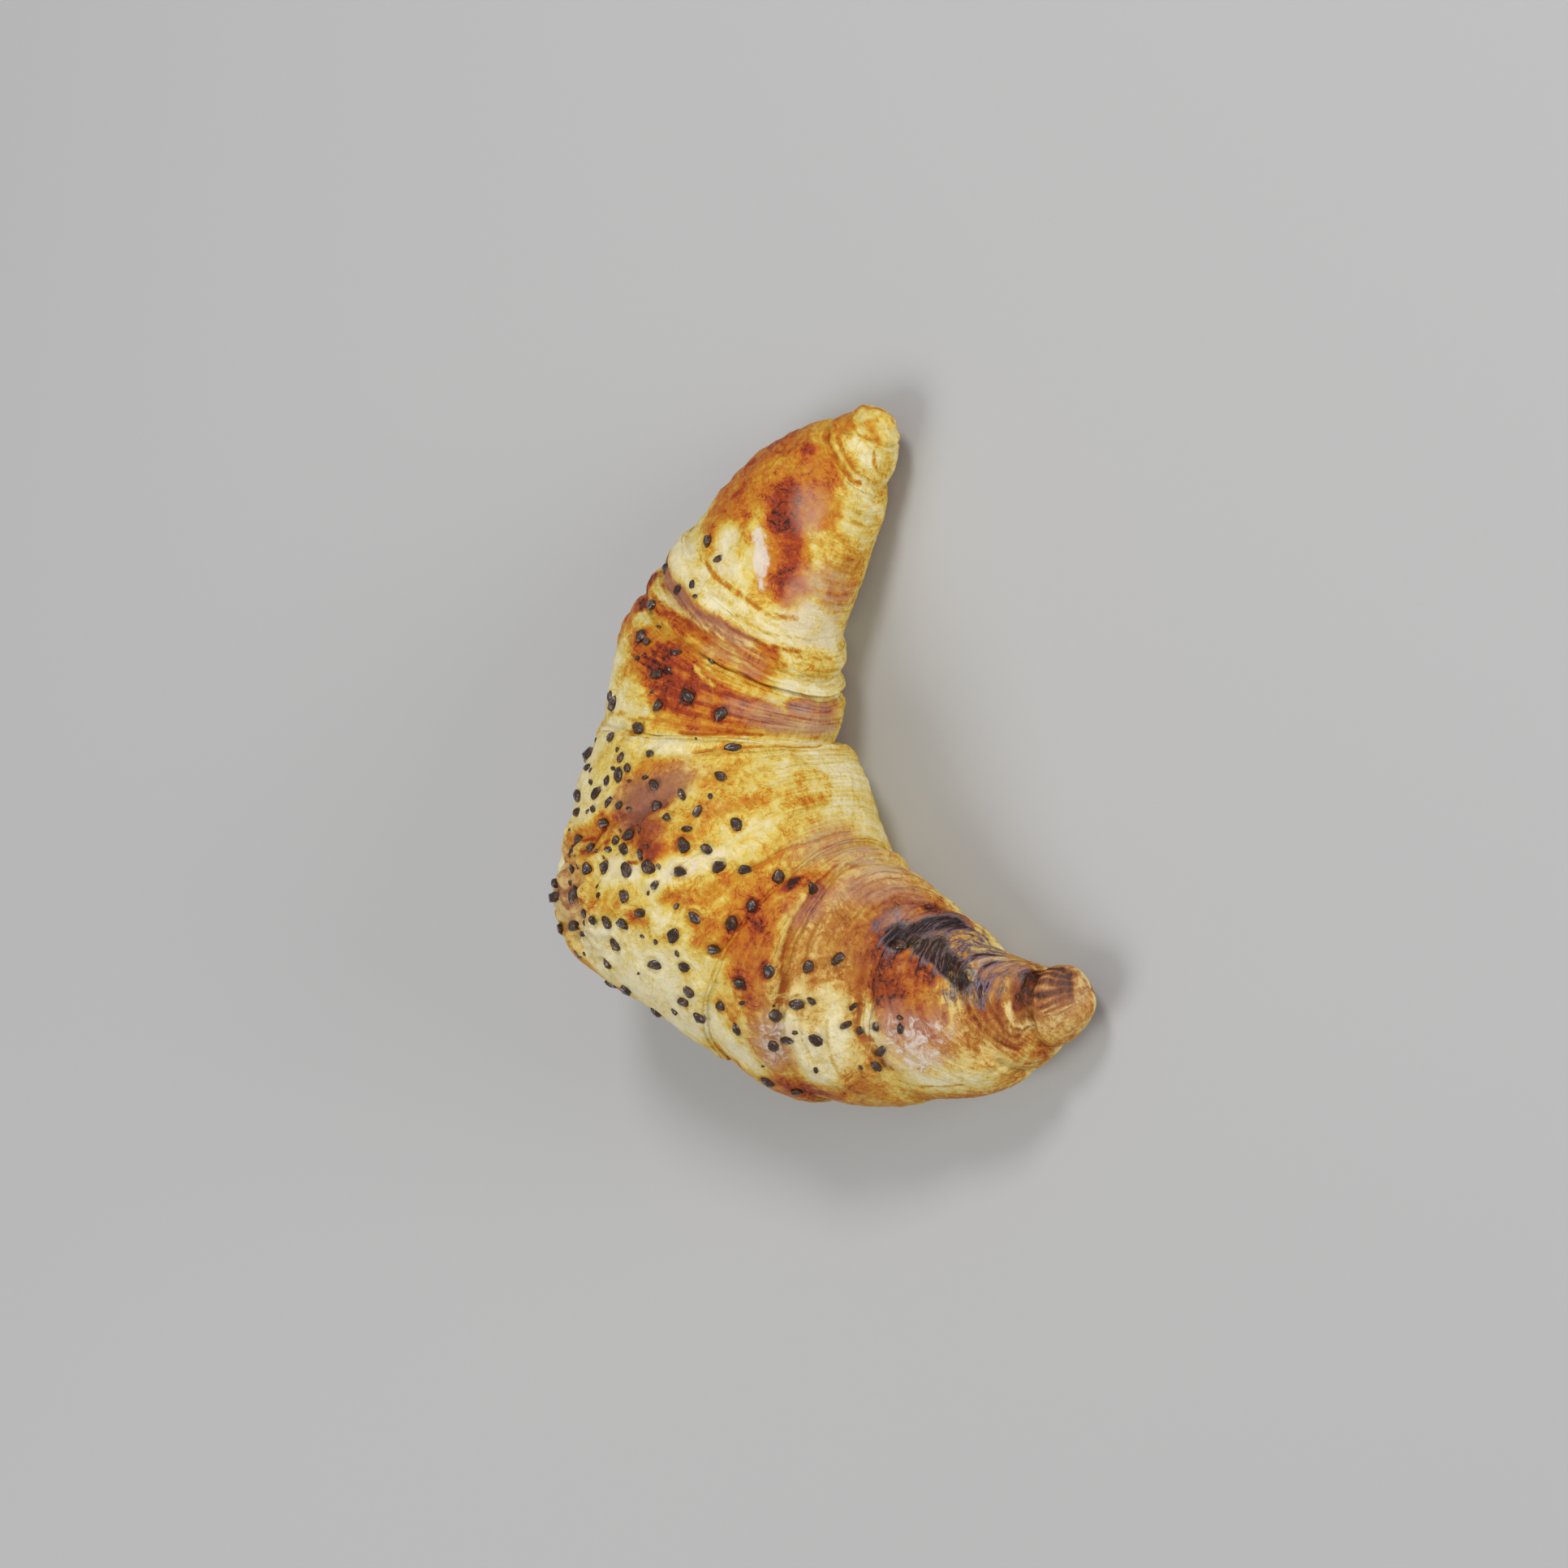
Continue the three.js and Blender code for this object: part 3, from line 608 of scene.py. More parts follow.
def lattice(cell, seed):
    """A repeatable number from -1 to 1 for each whole-numbered cell."""
    mixed = cell[..., 0] * 374761393 + cell[..., 1] * 668265263 + cell[..., 2] * 974634777
    mixed = (mixed + seed * 69069).astype(np.uint32)
    mixed = (mixed ^ (mixed >> np.uint32(13))) * np.uint32(1274126177)
    mixed = (mixed ^ (mixed >> np.uint32(16))) * np.uint32(2246822519)
    mixed ^= mixed >> np.uint32(15)
    return mixed / np.float64(2 ** 31) - 1


def noise(points, size, seed):
    """Smooth noise from -1 to 1 whose lumps are about "size" across."""
    scaled = points / size
    cell = np.floor(scaled).astype(np.int64)
    w = scaled - cell
    w = w * w * w * (w * (w * 6 - 15) + 10)
    total = np.zeros(points.shape[:-1])
    for corner in itertools.product((0, 1), repeat=3):
        share = np.where(np.array(corner), w, 1 - w).prod(-1)
        total += share * lattice(cell + np.array(corner), seed)
    return total


def rippled(points, ripple):
    """Layered smooth noise at some points."""
    total = sum(
        noise(points, ripple.size / 2 ** k, ripple.seed + k) / 2 ** k for k in range(ripple.layers)
    )
    return ripple.height * total / sum(0.5 ** k for k in range(ripple.layers)) * 1.3


def round_roll(angle, spread, row):
    """Points on a ring, for noise that closes on itself round the roll."""
    angle, row = np.broadcast_arrays(angle, row)
    return np.stack([spread * np.cos(angle), spread * np.sin(angle), row], -1)


# ---------------------------------------------------------------- the crust's shape


def plan_edges(along):
    """Inner and outer edge of the smooth outline, seen from above."""
    return (
        np.stack([through([p[k] for p in edge], along) for k in (0, 1)], -1)
        for edge in (INNER_EDGE, OUTER_EDGE)
    )


def plain_size(along):
    """Half width and half height of the smooth outline."""
    inner, outer = plan_edges(along)
    return np.linalg.norm(outer - inner, axis=-1) / 2, through(HALF_HEIGHTS, along)


def crust_point(along, angle, half_width, half_height):
    """Points of the roll: full on the crown, rounded off below and cut off flat at the base."""
    inner, outer = plan_edges(along)
    across = outer - inner
    across /= np.linalg.norm(across, axis=-1, keepdims=True)
    lift = TIP_LIFT * np.abs(along) ** TIP_LIFT_POWER
    centre = CENTRE_HEIGHT * through(HALF_HEIGHTS, along) + lift
    sine, cosine = np.sin(angle), np.cos(angle)
    under = cosine < 0
    reach = np.where(under, np.sign(sine) * np.abs(sine) ** UNDERSIDE_ROUNDING, sine)
    rise = np.where(under, -np.abs(cosine) ** UNDERSIDE_ROUNDING, CROWN_FULLNESS * cosine)
    plan = (inner + outer) / 2 + across * (half_width * reach)[..., None]
    height = np.maximum(centre + half_height * rise, 0)
    return np.concatenate([plan, height[..., None]], -1)


def edge_along(edge, angle):
    """Where a turn's edge lies, with the waver of a hand-rolled edge."""
    waver = rippled(round_roll(angle, 4, edge.at * 90), EDGE_WAVER)
    return edge.at + edge.skew * np.sin(angle) + edge.bow * np.cos(angle) + waver / ROLL_LENGTH


def turn_size(turn, v, along, angle):
    """Half width and half height at fraction v of a turn."""
    if turn in (0, len(TURN_EDGES)):
        if turn == 0:
            ball = NEAR_BALL_RADIUS * math.sqrt(max(1 - (1 - v) ** 2, 0))
        else:
            shoulder = FAR_BALL_RADIUS * math.sqrt(max(1 - (v / SHOULDER_END) ** 2, 0))
            ball = max(shoulder, NUB_RADIUS * math.sqrt(max(1 - v ** 3, 0)))
        return ball + 0 * angle, HEIGHT_TO_WIDTH * ball + 0 * angle
    start, end = TURN_EDGES[turn - 1], TURN_EDGES[turn]
    middle = turn == MIDDLE_TURN
    hump = 1 - (2 * v - 1) ** 4 if middle else 4 * v * (1 - v)
    lip = start.after + (end.before - start.after) * v + TURN_SWELL[turn] * hump
    if middle:
        lip = lip - MIDDLE_INNER_SWELL * v * np.sin(angle)
    half_width, half_height = plain_size(along)
    return half_width + lip, half_height + HEIGHT_TO_WIDTH * lip


def turn_rows(turn, angle, step):
    """Rows of one turn: where each lies along the roll, and its half width and half height."""
    reach = DROP_REACH / ROLL_LENGTH
    first = edge_along(TURN_EDGES[turn - 1], angle) + reach if turn else -1 + 0 * angle
    last = edge_along(TURN_EDGES[turn], angle) - reach if turn < len(TURN_EDGES) else 1 + 0 * angle
    closer = TIP_ROWS_CLOSER if turn in (0, len(TURN_EDGES)) else 1
    count = max(3, round(float(np.mean(last - first)) * ROLL_LENGTH / step * closer))
    for k in range(count + 1):
        v = k / count
        if turn == 0:
            v = 1 - math.cos(v * math.pi / 2)
        if turn == len(TURN_EDGES):
            v = math.sin(v * math.pi / 2)
        along = first + (last - first) * v
        yield along, *turn_size(turn, v, along, angle)


def drop_rows(index, angle):
    """Rows over the edge between a turn and the next one."""
    edge = TURN_EDGES[index]
    place = edge_along(edge, angle)
    sizes = [turn_size(index, 1, place, angle), turn_size(index + 1, 0, place, angle)]
    falls = np.mean(sizes[0][0] - sizes[1][0]) > 0
    high, low = sizes if falls else sizes[::-1]
    ahead = 1 if falls else -1
    layered = abs(np.mean(high[0] - low[0])) > LAYERED_FROM
    tread = 1 + rippled(round_roll(angle, 3, edge.at * 70), TREAD_WAVER)
    profile = LAYERED_DROP if layered else PLAIN_DROP
    for past, drop in profile if falls else profile[::-1]:
        along = place + ahead * past * (tread if past > 0 else 1) / ROLL_LENGTH
        yield along, high[0] + (low[0] - high[0]) * drop, high[1] + (low[1] - high[1]) * drop


def crust_grid(columns, step):
    """The crust's points row by row from the -X tip, with where each lies along and round the roll."""
    turn = 2 * np.pi * np.arange(columns) / columns
    angle = turn - CROWN_CROWDING * np.sin(turn)
    rows = []
    for index in range(len(TURN_EDGES) + 1):
        rows += turn_rows(index, angle, step)
        if index < len(TURN_EDGES):
            rows += drop_rows(index, angle)
    along, half_width, half_height = (np.array(part) for part in zip(*rows))
    angle = np.broadcast_to(angle, along.shape)
    return along, angle, crust_point(along, angle, half_width, half_height)


def outward(points):
    """Unit normals of a grid of points that closes round its columns."""
    ahead = np.gradient(points, axis=0)
    round_it = np.roll(points, -1, 1) - np.roll(points, 1, 1)
    normal = np.cross(ahead, round_it)
    return normal / (np.linalg.norm(normal, axis=-1, keepdims=True) + 1e-9)


def near_stroke(along, angle, radius, places):
    """Millimetres over the crust from each point to a stroke."""
    ends = places if len(places) > 1 else places * 2
    nearest = np.full(along.shape, 1e3)
    for (a0, d0), (a1, d1) in zip(ends, ends[1:]):
        turned = angle - math.radians(d0)
        turned = (turned + math.pi) % (2 * math.pi) - math.pi
        x, y = (along - a0) * ROLL_LENGTH, turned * radius
        sx, sy = (a1 - a0) * ROLL_LENGTH, math.radians(d1 - d0) * radius
        t = np.clip((x * sx + y * sy) / (sx ** 2 + sy ** 2 + 1e-9), 0, 1)
        nearest = np.minimum(nearest, np.hypot(x - t * sx, y - t * sy))
    return nearest


def blend_strokes(value, strokes, along, angle, radius, ragged):
    """Lays strokes one after another over a value, with ragged edges."""
    for level, half_width, places in strokes:
        roughness = half_width / RAGGED_WIDTH - RAGGED_OFFSET
        roughness = min(max(roughness, RAGGED_LEAST), RAGGED_MOST)
        away = near_stroke(along, angle, radius, places) + ragged * roughness
        soft = half_width * STROKE_SOFTNESS
        share = 1 - smoothstep(half_width - soft, half_width + soft, away)
        value = value + (level - value) * share
    return value


class Crust:
    """The crust's points in millimetres, their normals and how they are baked.

    "line" is the distance from the nearest thin line's edge, and "line_bake" that line's own bake.
    """

    def __init__(self, columns, step, lump_height, streak_height):
        self.along, self.angle, self.smooth = crust_grid(columns, step)
        self.degrees = np.degrees((self.angle + np.pi) % (2 * np.pi) - np.pi)
        self.grain = self.ring_space()
        self.radius = np.maximum(sum(plain_size(self.along)) / 2, LEAST_RADIUS)
        self.wave_along = self.along + rippled(self.smooth, STROKE_WAVER) / ROLL_LENGTH
        self.wave_angle = self.angle + rippled(self.grain * STREAKED, STROKE_TWIST) / self.radius
        craggy = 1 - smoothstep(CRAGGY_REACH * 0.4, CRAGGY_REACH, self.near((CRAGGY_PLACE,)))
        self.crags = craggy * (CRAG_LEVEL - np.abs(rippled(self.smooth, CRAGS)))
        self.points = self.raised(lump_height, streak_height)
        self.normal = outward(self.points)
        self.normal[0], self.normal[-1] = self.normal[1].mean(0), self.normal[-2].mean(0)

        ragged = rippled(self.smooth, RAGGED) + rippled(self.grain * FINE_STREAKED, FINE_RAGGED)
        place = (self.wave_along, self.wave_angle, self.radius, ragged)
        nothing = 0 * self.along
        self.bake = self.baked(place)
        self.line, self.line_bake = self.lined()
        self.tan = self.along_roll(TAN_ALONG)
        self.tan *= 1 - OUTER_TAN_SHARE * smoothstep(OUTER_FROM, OUTER_TO, self.degrees)
        self.tan = blend_strokes(self.tan, TAN_STROKES, *place)
        inner = smoothstep(-INNER_STREAK_FROM, -INNER_STREAK_TO, -self.degrees)
        streak = self.along_roll(STREAK_ALONG)
        self.streak = streak + (np.maximum(INNER_STREAK, streak) - streak) * inner
        self.rose = blend_strokes(nothing, ROSE_STROKES, *place)
        self.char = blend_strokes(nothing, CHAR_STROKES, *place)
        # Strength of the painted highlights, pale lilac-white patches.
        self.painted_highlight = blend_strokes(nothing, PAINTED_HIGHLIGHT_STROKES, *place)

    def ring_space(self):
        """Places for streaky noise: millimetres along the roll, and the ring's cosine and sine."""
        steps = np.linalg.norm(np.diff(self.smooth[:, 0], axis=0), axis=-1)
        row = np.concatenate([[0], np.cumsum(np.maximum(steps, LEAST_ROW))])[:, None]
        slant = np.interp(self.along, *zip(*STREAK_SLANT)) * ROLL_LENGTH
        ring = row + slant * (1 - np.cos(self.angle - math.radians(STREAK_SLANT_FROM)))
        return round_roll(self.angle, 1, ring)[..., [2, 0, 1]]

    def near(self, places):
        return near_stroke(self.wave_along, self.wave_angle, self.radius, places)

    def along_roll(self, table):
        return np.interp(self.wave_along, *zip(*table))

    def raised(self, lump_height, streak_height):
        """The smooth points with lumps, streaks, blisters, crags, ridges and hollows."""
        smooth = self.smooth
        relief = (rippled(smooth, BROAD_LUMPS) + rippled(smooth, SMALL_LUMPS)) * lump_height
        streaks = rippled(self.grain * STREAKED, STREAKS)
        streaks += rippled(self.grain * FINE_STREAKED, FINE_STREAKS)
        relief += streaks * streak_height
        relief += np.maximum(noise(smooth, *BLISTERS) - BLISTER_LEVEL, 0) * BLISTER_HEIGHT
        relief += self.crags * CRAGGY_HEIGHT
        for height, half_width, places in RELIEF_STROKES:
            relief += height * np.exp(-((self.near(places) / half_width) ** 2))
        top = 1 - smoothstep(SMOOTHER_FROM, SMOOTHER_TO, np.abs(self.degrees))
        tips = smoothstep(1, TIP_SMOOTHER_FROM, np.abs(self.along))
        relief *= tips * (1 - TIP_RELIEF) + TIP_RELIEF
        relief *= top * (1 - UNDERSIDE_RELIEF) + UNDERSIDE_RELIEF
        points = smooth + outward(smooth) * relief[..., None]
        pits = np.maximum(noise(smooth, *BASE_PITS), 0) * BASE_PIT_HEIGHT
        points[..., 2] = np.where(smooth[..., 2] <= 0, pits, np.maximum(points[..., 2], 0))
        points[0], points[-1] = points[0].mean(0), points[-1].mean(0)
        return points

    def baked(self, place):
        """Depth of bake: the crown's strokes, paler sides and a browned base."""
        smooth, round_it = self.smooth, np.abs(self.degrees)
        crown = blend_strokes(self.along_roll(BAKE_ALONG), BAKE_STROKES, *place)
        side = smoothstep(SIDE_FROM, SIDE_TO, round_it + rippled(smooth, SIDE_WAVER))
        base = smoothstep(BASE_FROM, BASE_TO, round_it + rippled(smooth, BASE_WAVER))
        bake = crown + (SIDE_BAKE - crown) * side * SIDE_SHARE
        bake = bake + (BASE_BAKE + rippled(smooth, BASE_MOTTLE) - bake) * base
        bake += rippled(smooth, MOTTLE) + rippled(self.grain * STREAKED, FINE_MOTTLE)
        return np.clip(bake - CRAG_BAKE * self.crags, 0, 1)

    def lined(self):
        line = np.full(self.along.shape, float(LINE_REACH))
        line_bake = np.full(self.along.shape, UNLINED_BAKE)
        for level, half_width, places in LINE_STROKES:
            away = self.near(places) - half_width
            line_bake = np.where(away < line, level, line_bake)
            line = np.minimum(line, away)
        return line, line_bake

    def nearest(self, point):
        """Row and column of the grid's point that is nearest to a place in millimetres."""
        away = ((self.points - point) ** 2).sum(-1)
        return np.unravel_index(away.argmin(), away.shape)

    def dimple(self, row, column, half_width, depth):
        """Presses a seed's pocket into the crust, with a raised rim, and paints shade round the seed as
        a darker ring of bake with a faint paler ring beyond.
        """
        centre = self.points[row, column]
        away = np.linalg.norm(self.points - centre, axis=-1) / half_width
        shift = -depth * np.exp(-(away ** 2) * 1.4) + 0.35 * depth * np.exp(-((away - 1.35) / 0.4) ** 2)
        self.points = self.points + self.normal * np.where(away < 4, shift, 0)[..., None]
        # Painted shade: a ring of darker bake at the seed's edge, where the seed shades the crust, with
        # a faint paler ring beyond it.
        painted_seed_shade = 0.2 * np.exp(-((away - 1.0) / 0.22) ** 2) - 0.04 * np.exp(-((away - 1.4) / 0.2) ** 2)
        self.bake = np.clip(self.bake + painted_seed_shade, 0, 1)


CRUST = {}


def crust():
    """The crust, worked out once for the loaf and its seeds."""
    if not CRUST:
        settings = bpy.context.scene.loaf_settings
        CRUST["loaf"] = Crust(
            settings.columns, settings.row_step / MM, settings.lump_height / MM,
            settings.streak_height / MM,
        )
    return CRUST["loaf"]


# ---------------------------------------------------------------- node materials


def wire(tree, kind, inputs=None, **settings):
    """Adds a node with its settings, and gives each input a value or a link."""
    made = tree.nodes.new(kind)
    for name, value in settings.items():
        setattr(made, name, value)
    for key, value in (inputs or {}).items():
        if isinstance(value, bpy.types.NodeSocket):
            tree.links.new(value, made.inputs[key])
        else:
            made.inputs[key].default_value = value
    return made


def maths(tree, operation, *values):
    made = wire(tree, "ShaderNodeMath", dict(enumerate(values)), operation=operation)
    return made.outputs[0]


def mixed(tree, factor, first, second):
    """A mix of two colours."""
    made = wire(tree, "ShaderNodeMix", {0: factor, 6: first, 7: second}, data_type="RGBA")
    return made.outputs[2]


def grain_noise(tree, vector, scale, detail, roughness=0.55, distortion=0.0):
    """Noise in a stretched space, from 0 to 1."""
    mapping = wire(tree, "ShaderNodeMapping", {"Vector": vector, "Scale": scale})
    made = wire(
        tree, "ShaderNodeTexNoise",
        {
            "Vector": mapping.outputs[0], "Scale": 1, "Detail": detail, "Roughness": roughness,
            "Distortion": distortion,
        },
    )
    return made.outputs["Fac"]


def centred(tree, value):
    return maths(tree, "SUBTRACT", value, 0.5)


def stretched(tree, value, low, high):
    """A value from low to high, spread from 0 to 1."""
    made = wire(tree, "ShaderNodeMapRange", {"Value": value, "From Min": low, "From Max": high})
    return made.outputs["Result"]


def opaque(rgb):
    return (*rgb, 1)


def new_material(name):
    material = bpy.data.materials.new(name)
    material.use_nodes = True
    tree = material.node_tree
    tree.nodes.clear()
    shader = wire(tree, "ShaderNodeBsdfPrincipled")
    wire(tree, "ShaderNodeOutputMaterial", {"Surface": shader.outputs[0]})
    return material, tree, shader


def ramp(tree, factor, stops):
    made = wire(tree, "ShaderNodeValToRGB", {"Fac": factor})
    elements = made.color_ramp.elements
    while len(elements) < len(stops):
        elements.new(0.5)
    for element, (position, rgb) in zip(elements, stops):
        element.position = position
        element.color = opaque(rgb)
    return made.outputs["Color"]


def between(first, second, share):
    return tuple(a + (b - a) * share for a, b in zip(first, second))


# Tones across the streaks of the blackened patches: at their heart, and where they thin out.
SOOT = "0c0c13"
CHAR_TONES = (
    (0.0, SOOT), (0.3, SOOT), (0.4, "39444e"), (0.48, SOOT), (0.62, "2a1014"), (0.74, "6c6468"),
    (0.86, "50261a"), (1.0, SOOT),
)
ASH_TONES = (
    (0.0, "2a2028"), (0.2, "50506a"), (0.32, "94949a"), (0.42, "3a2420"), (0.54, "a88a70"),
    (0.64, "4c241a"), (0.78, "80788a"), (1.0, "34161a"),
)
GrainNoise = namedtuple("GrainNoise", "stripe hair cloud crackle speckle vein")


def grain_noises(tree, grain, place):
    """Stripes round the roll, clouds, and finer and finer marks."""
    return GrainNoise(
        stripe=grain_noise(tree, grain, (0.75, 1.7, 1.7), 4, 0.6),
        hair=grain_noise(tree, grain, (1.7, 2.4, 2.4), 4, 0.6),
        cloud=grain_noise(tree, place, (130, 130, 130), 6, 0.68, 0.7),
        crackle=grain_noise(tree, place, (380, 380, 380), 5, 0.72, 0.9),
        speckle=grain_noise(tree, place, (900, 900, 900), 3, 0.6),
        vein=grain_noise(tree, place, (210, 210, 210), 4, 0.6, 1.6),
    )


def baked_level(tree, amount, marks, streak):
    """Depth of bake with its stripes, marks and fine veins, more varied where it is half baked."""
    spread = maths(tree, "MULTIPLY_ADD", amount["bake"], -0.9, 1.125)
    spread = maths(tree, "MULTIPLY_ADD", spread, amount["bake"], 0.6)
    level = amount["bake"]
    for part, strength in (
        (maths(tree, "MULTIPLY", centred(tree, marks.stripe), streak), 1.0),
        (maths(tree, "MULTIPLY", centred(tree, marks.hair), streak), 0.45),
        (centred(tree, marks.cloud), 0.75),
        (centred(tree, marks.crackle), 0.75),
        (centred(tree, marks.speckle), 0.4),
    ):
        level = maths(tree, "MULTIPLY_ADD", maths(tree, "MULTIPLY", part, strength), spread, level)
    vein = stretched(tree, maths(tree, "ABSOLUTE", centred(tree, marks.vein)), 0.035, 0.0)
    vein = maths(tree, "MULTIPLY", vein, stretched(tree, marks.cloud, 0.44, 0.55))
    return maths(tree, "MULTIPLY_ADD", vein, 0.22, level)


def thin_lines(tree, amount, marks, level):
    """The rolled edges' thin lines, and the bake with them drawn in."""
    waver = maths(tree, "MULTIPLY", centred(tree, marks.crackle), 1.6)
    edge = stretched(tree, maths(tree, "ADD", amount["line"], waver), 0.25, -0.25)
    edge = maths(tree, "MULTIPLY", edge, stretched(tree, marks.vein, 0.32, 0.5))
    deeper = maths(tree, "SUBTRACT", amount["line_bake"], level)
    return edge, maths(tree, "MULTIPLY_ADD", maths(tree, "MULTIPLY", edge, 0.85), deeper, level)


def baked_colour(tree, amount, level):
    """Golden and brown tones of the bake, mixed as the crust leans to tan."""
    finish = bpy.context.scene.crust_finish
    golden = ramp(
        tree, level,
        (
            (0.0, finish.cream), (0.13, between(finish.cream, finish.butter, 0.55)),
            (0.26, finish.butter), (0.43, finish.gold), (0.54, between(finish.gold, finish.orange, 0.6)),
            (0.65, finish.orange), (0.8, finish.chestnut),
            (0.93, between(finish.chestnut, finish.burnt, 0.45)), (1.0, finish.burnt),
        ),
    )
    brown = ramp(
        tree, level,
        (
            (0.0, finish.cream), (0.16, between(finish.cream, finish.tan_light, 0.7)),
            (0.34, finish.tan_light), (0.5, finish.tan),
            (0.66, between(finish.tan, finish.tan_dark, 0.7)), (0.8, finish.tan_dark),
            (0.94, between(finish.tan_dark, finish.burnt, 0.6)), (1.0, finish.burnt),
        ),
    )
    return mixed(tree, amount["tan"], golden, brown)


def dusted(tree, amount, marks, shade):
    """The crust's colour with its dusky patches and its painted highlights of pale lilac-white."""
    finish = bpy.context.scene.crust_finish
    striped = maths(tree, "MULTIPLY", stretched(tree, marks.stripe, 0.4, 0.62), amount["streak"])
    rose_tone = mixed(tree, striped, opaque(finish.rose), shade)
    rose = maths(tree, "MULTIPLY", amount["rose"], stretched(tree, marks.crackle, 0.2, 0.5))
    shade = mixed(tree, maths(tree, "MULTIPLY", rose, 0.85), shade, rose_tone)
    # Painted highlights: pale lilac-white patches, broken up by fine noise.
    grainy = maths(tree, "MULTIPLY", centred(tree, marks.crackle), 3.2)
    painted_highlight = stretched(tree, maths(tree, "ADD", amount["painted_highlight"], grainy), 0.4, 0.9)
    painted_highlight = maths(tree, "MULTIPLY", painted_highlight, stretched(tree, amount["painted_highlight"], 0.05, 0.35))
    return mixed(tree, maths(tree, "MULTIPLY", painted_highlight, 0.8), shade, opaque(finish.painted_highlight))


def charred(tree, amount, marks, shade):
    """The strength of the char, and the crust's colour with its blackened patches."""
    streaks = stretched(tree, marks.stripe, 0.36, 0.64)
    tones = [
        ramp(tree, streaks, [(place, linear(code)) for place, code in stops])
        for stops in (ASH_TONES, CHAR_TONES)
    ]
    tone = mixed(tree, stretched(tree, amount["char"], 0.66, 0.86), *tones)
    striped = maths(tree, "MULTIPLY", centred(tree, marks.stripe), 1.5)
    char = maths(tree, "ADD", amount["char"], striped)
    char = maths(tree, "MULTIPLY_ADD", centred(tree, marks.crackle), 1.3, char)
    char = stretched(tree, char, 0.4, 0.68)
    char = maths(tree, "MULTIPLY", char, stretched(tree, amount["char"], 0.05, 0.3))
    return char, mixed(tree, maths(tree, "MULTIPLY", char, 0.94), shade, tone)


def crust_material():
    material, tree, shader = new_material("crust_finish")
    sources = {
        name: wire(tree, "ShaderNodeAttribute", attribute_name=name).outputs
        for name in (*CRUST_VALUES, "grain")
    }
    amount = {name: sources[name]["Fac"] for name in CRUST_VALUES}
    place = wire(tree, "ShaderNodeTexCoord").outputs["Object"]
    marks = grain_noises(tree, sources["grain"]["Vector"], place)
    streak = maths(tree, "ADD", maths(tree, "MULTIPLY", amount["streak"], 0.85), 0.1)

    level = baked_level(tree, amount, marks, streak)
    edge, level = thin_lines(tree, amount, marks, level)
    shade = dusted(tree, amount, marks, baked_colour(tree, amount, level))
    char, shade = charred(tree, amount, marks, shade)
    tree.links.new(shade, shader.inputs["Base Color"])

    rough = maths(tree, "MULTIPLY_ADD", marks.crackle, 0.4, 0.36)
    tree.links.new(rough, shader.inputs["Roughness"])
    gloss = maths(tree, "MULTIPLY_ADD", char, -0.15, 0.28)
    tree.links.new(gloss, shader.inputs["Specular IOR Level"])
    shader.inputs["Coat Weight"].default_value = 0.03
    shader.inputs["Coat Roughness"].default_value = 0.16
    height = maths(tree, "MULTIPLY", maths(tree, "MULTIPLY", marks.stripe, streak), 1.2)
    for part, strength in ((marks.crackle, 1.1), (marks.speckle, 0.35), (edge, -0.25)):
        height = maths(tree, "MULTIPLY_ADD", part, strength, height)
    bump = wire(tree, "ShaderNodeBump", {"Height": height, "Strength": 0.8, "Distance": 0.0007})
    tree.links.new(bump.outputs[0], shader.inputs["Normal"])
    return material


def seed_material():
    settings = bpy.context.scene.seed_settings
    material, tree, shader = new_material("seed_finish")
    place = wire(tree, "ShaderNodeTexCoord").outputs["Object"]
    blotch = grain_noise(tree, place, (600, 600, 600), 3)
    pits = grain_noise(tree, place, (2600, 2600, 2600), 3)
    patchy = maths(tree, "MULTIPLY_ADD", pits, 0.4, maths(tree, "MULTIPLY", blotch, 0.6))
    worn = stretched(tree, patchy, 0.5, 0.68)
    shade = mixed(tree, worn, opaque(settings.colour), opaque(settings.worn))
    tree.links.new(shade, shader.inputs["Base Color"])
    tree.links.new(maths(tree, "MULTIPLY_ADD", pits, 0.3, 0.12), shader.inputs["Roughness"])
    shader.inputs["Coat Weight"].default_value = 0.35
    shader.inputs["Coat Roughness"].default_value = 0.12
    bump = wire(tree, "ShaderNodeBump", {"Height": pits, "Strength": 0.7, "Distance": 0.0002})
    tree.links.new(bump.outputs[0], shader.inputs["Normal"])
    return material


def floor_material():
    material, tree, shader = new_material("floor_finish")
    shader.inputs["Base Color"].default_value = opaque(bpy.context.scene.stage_settings.floor)
    shader.inputs["Roughness"].default_value = 0.9
    shader.inputs["Specular IOR Level"].default_value = 0.1
    return material


# ---------------------------------------------------------------- the pieces

# Values that the loaf's mesh carries at each point for its material.
CRUST_VALUES = ("bake", "line", "line_bake", "tan", "streak", "rose", "char", "painted_highlight")


def deselect():
    bpy.ops.object.select_all(action="DESELECT")


def finish_piece(piece, name, material, slot, *nodes):
    """Names a piece, gives it its material and ties it to the frame."""
    piece.name = name
    piece.data.name = name
    piece.data.materials.clear()
    piece.data.materials.append(material)
    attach(piece, "root")
    if nodes:
        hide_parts(*nodes)


def add_value(mesh, name, values, kind="FLOAT"):
    attribute = mesh.attributes.new(name, kind, "POINT")
    key = "vector" if kind == "FLOAT_VECTOR" else "value"
    attribute.data.foreach_set(key, np.ascontiguousarray(values, np.float32).ravel())


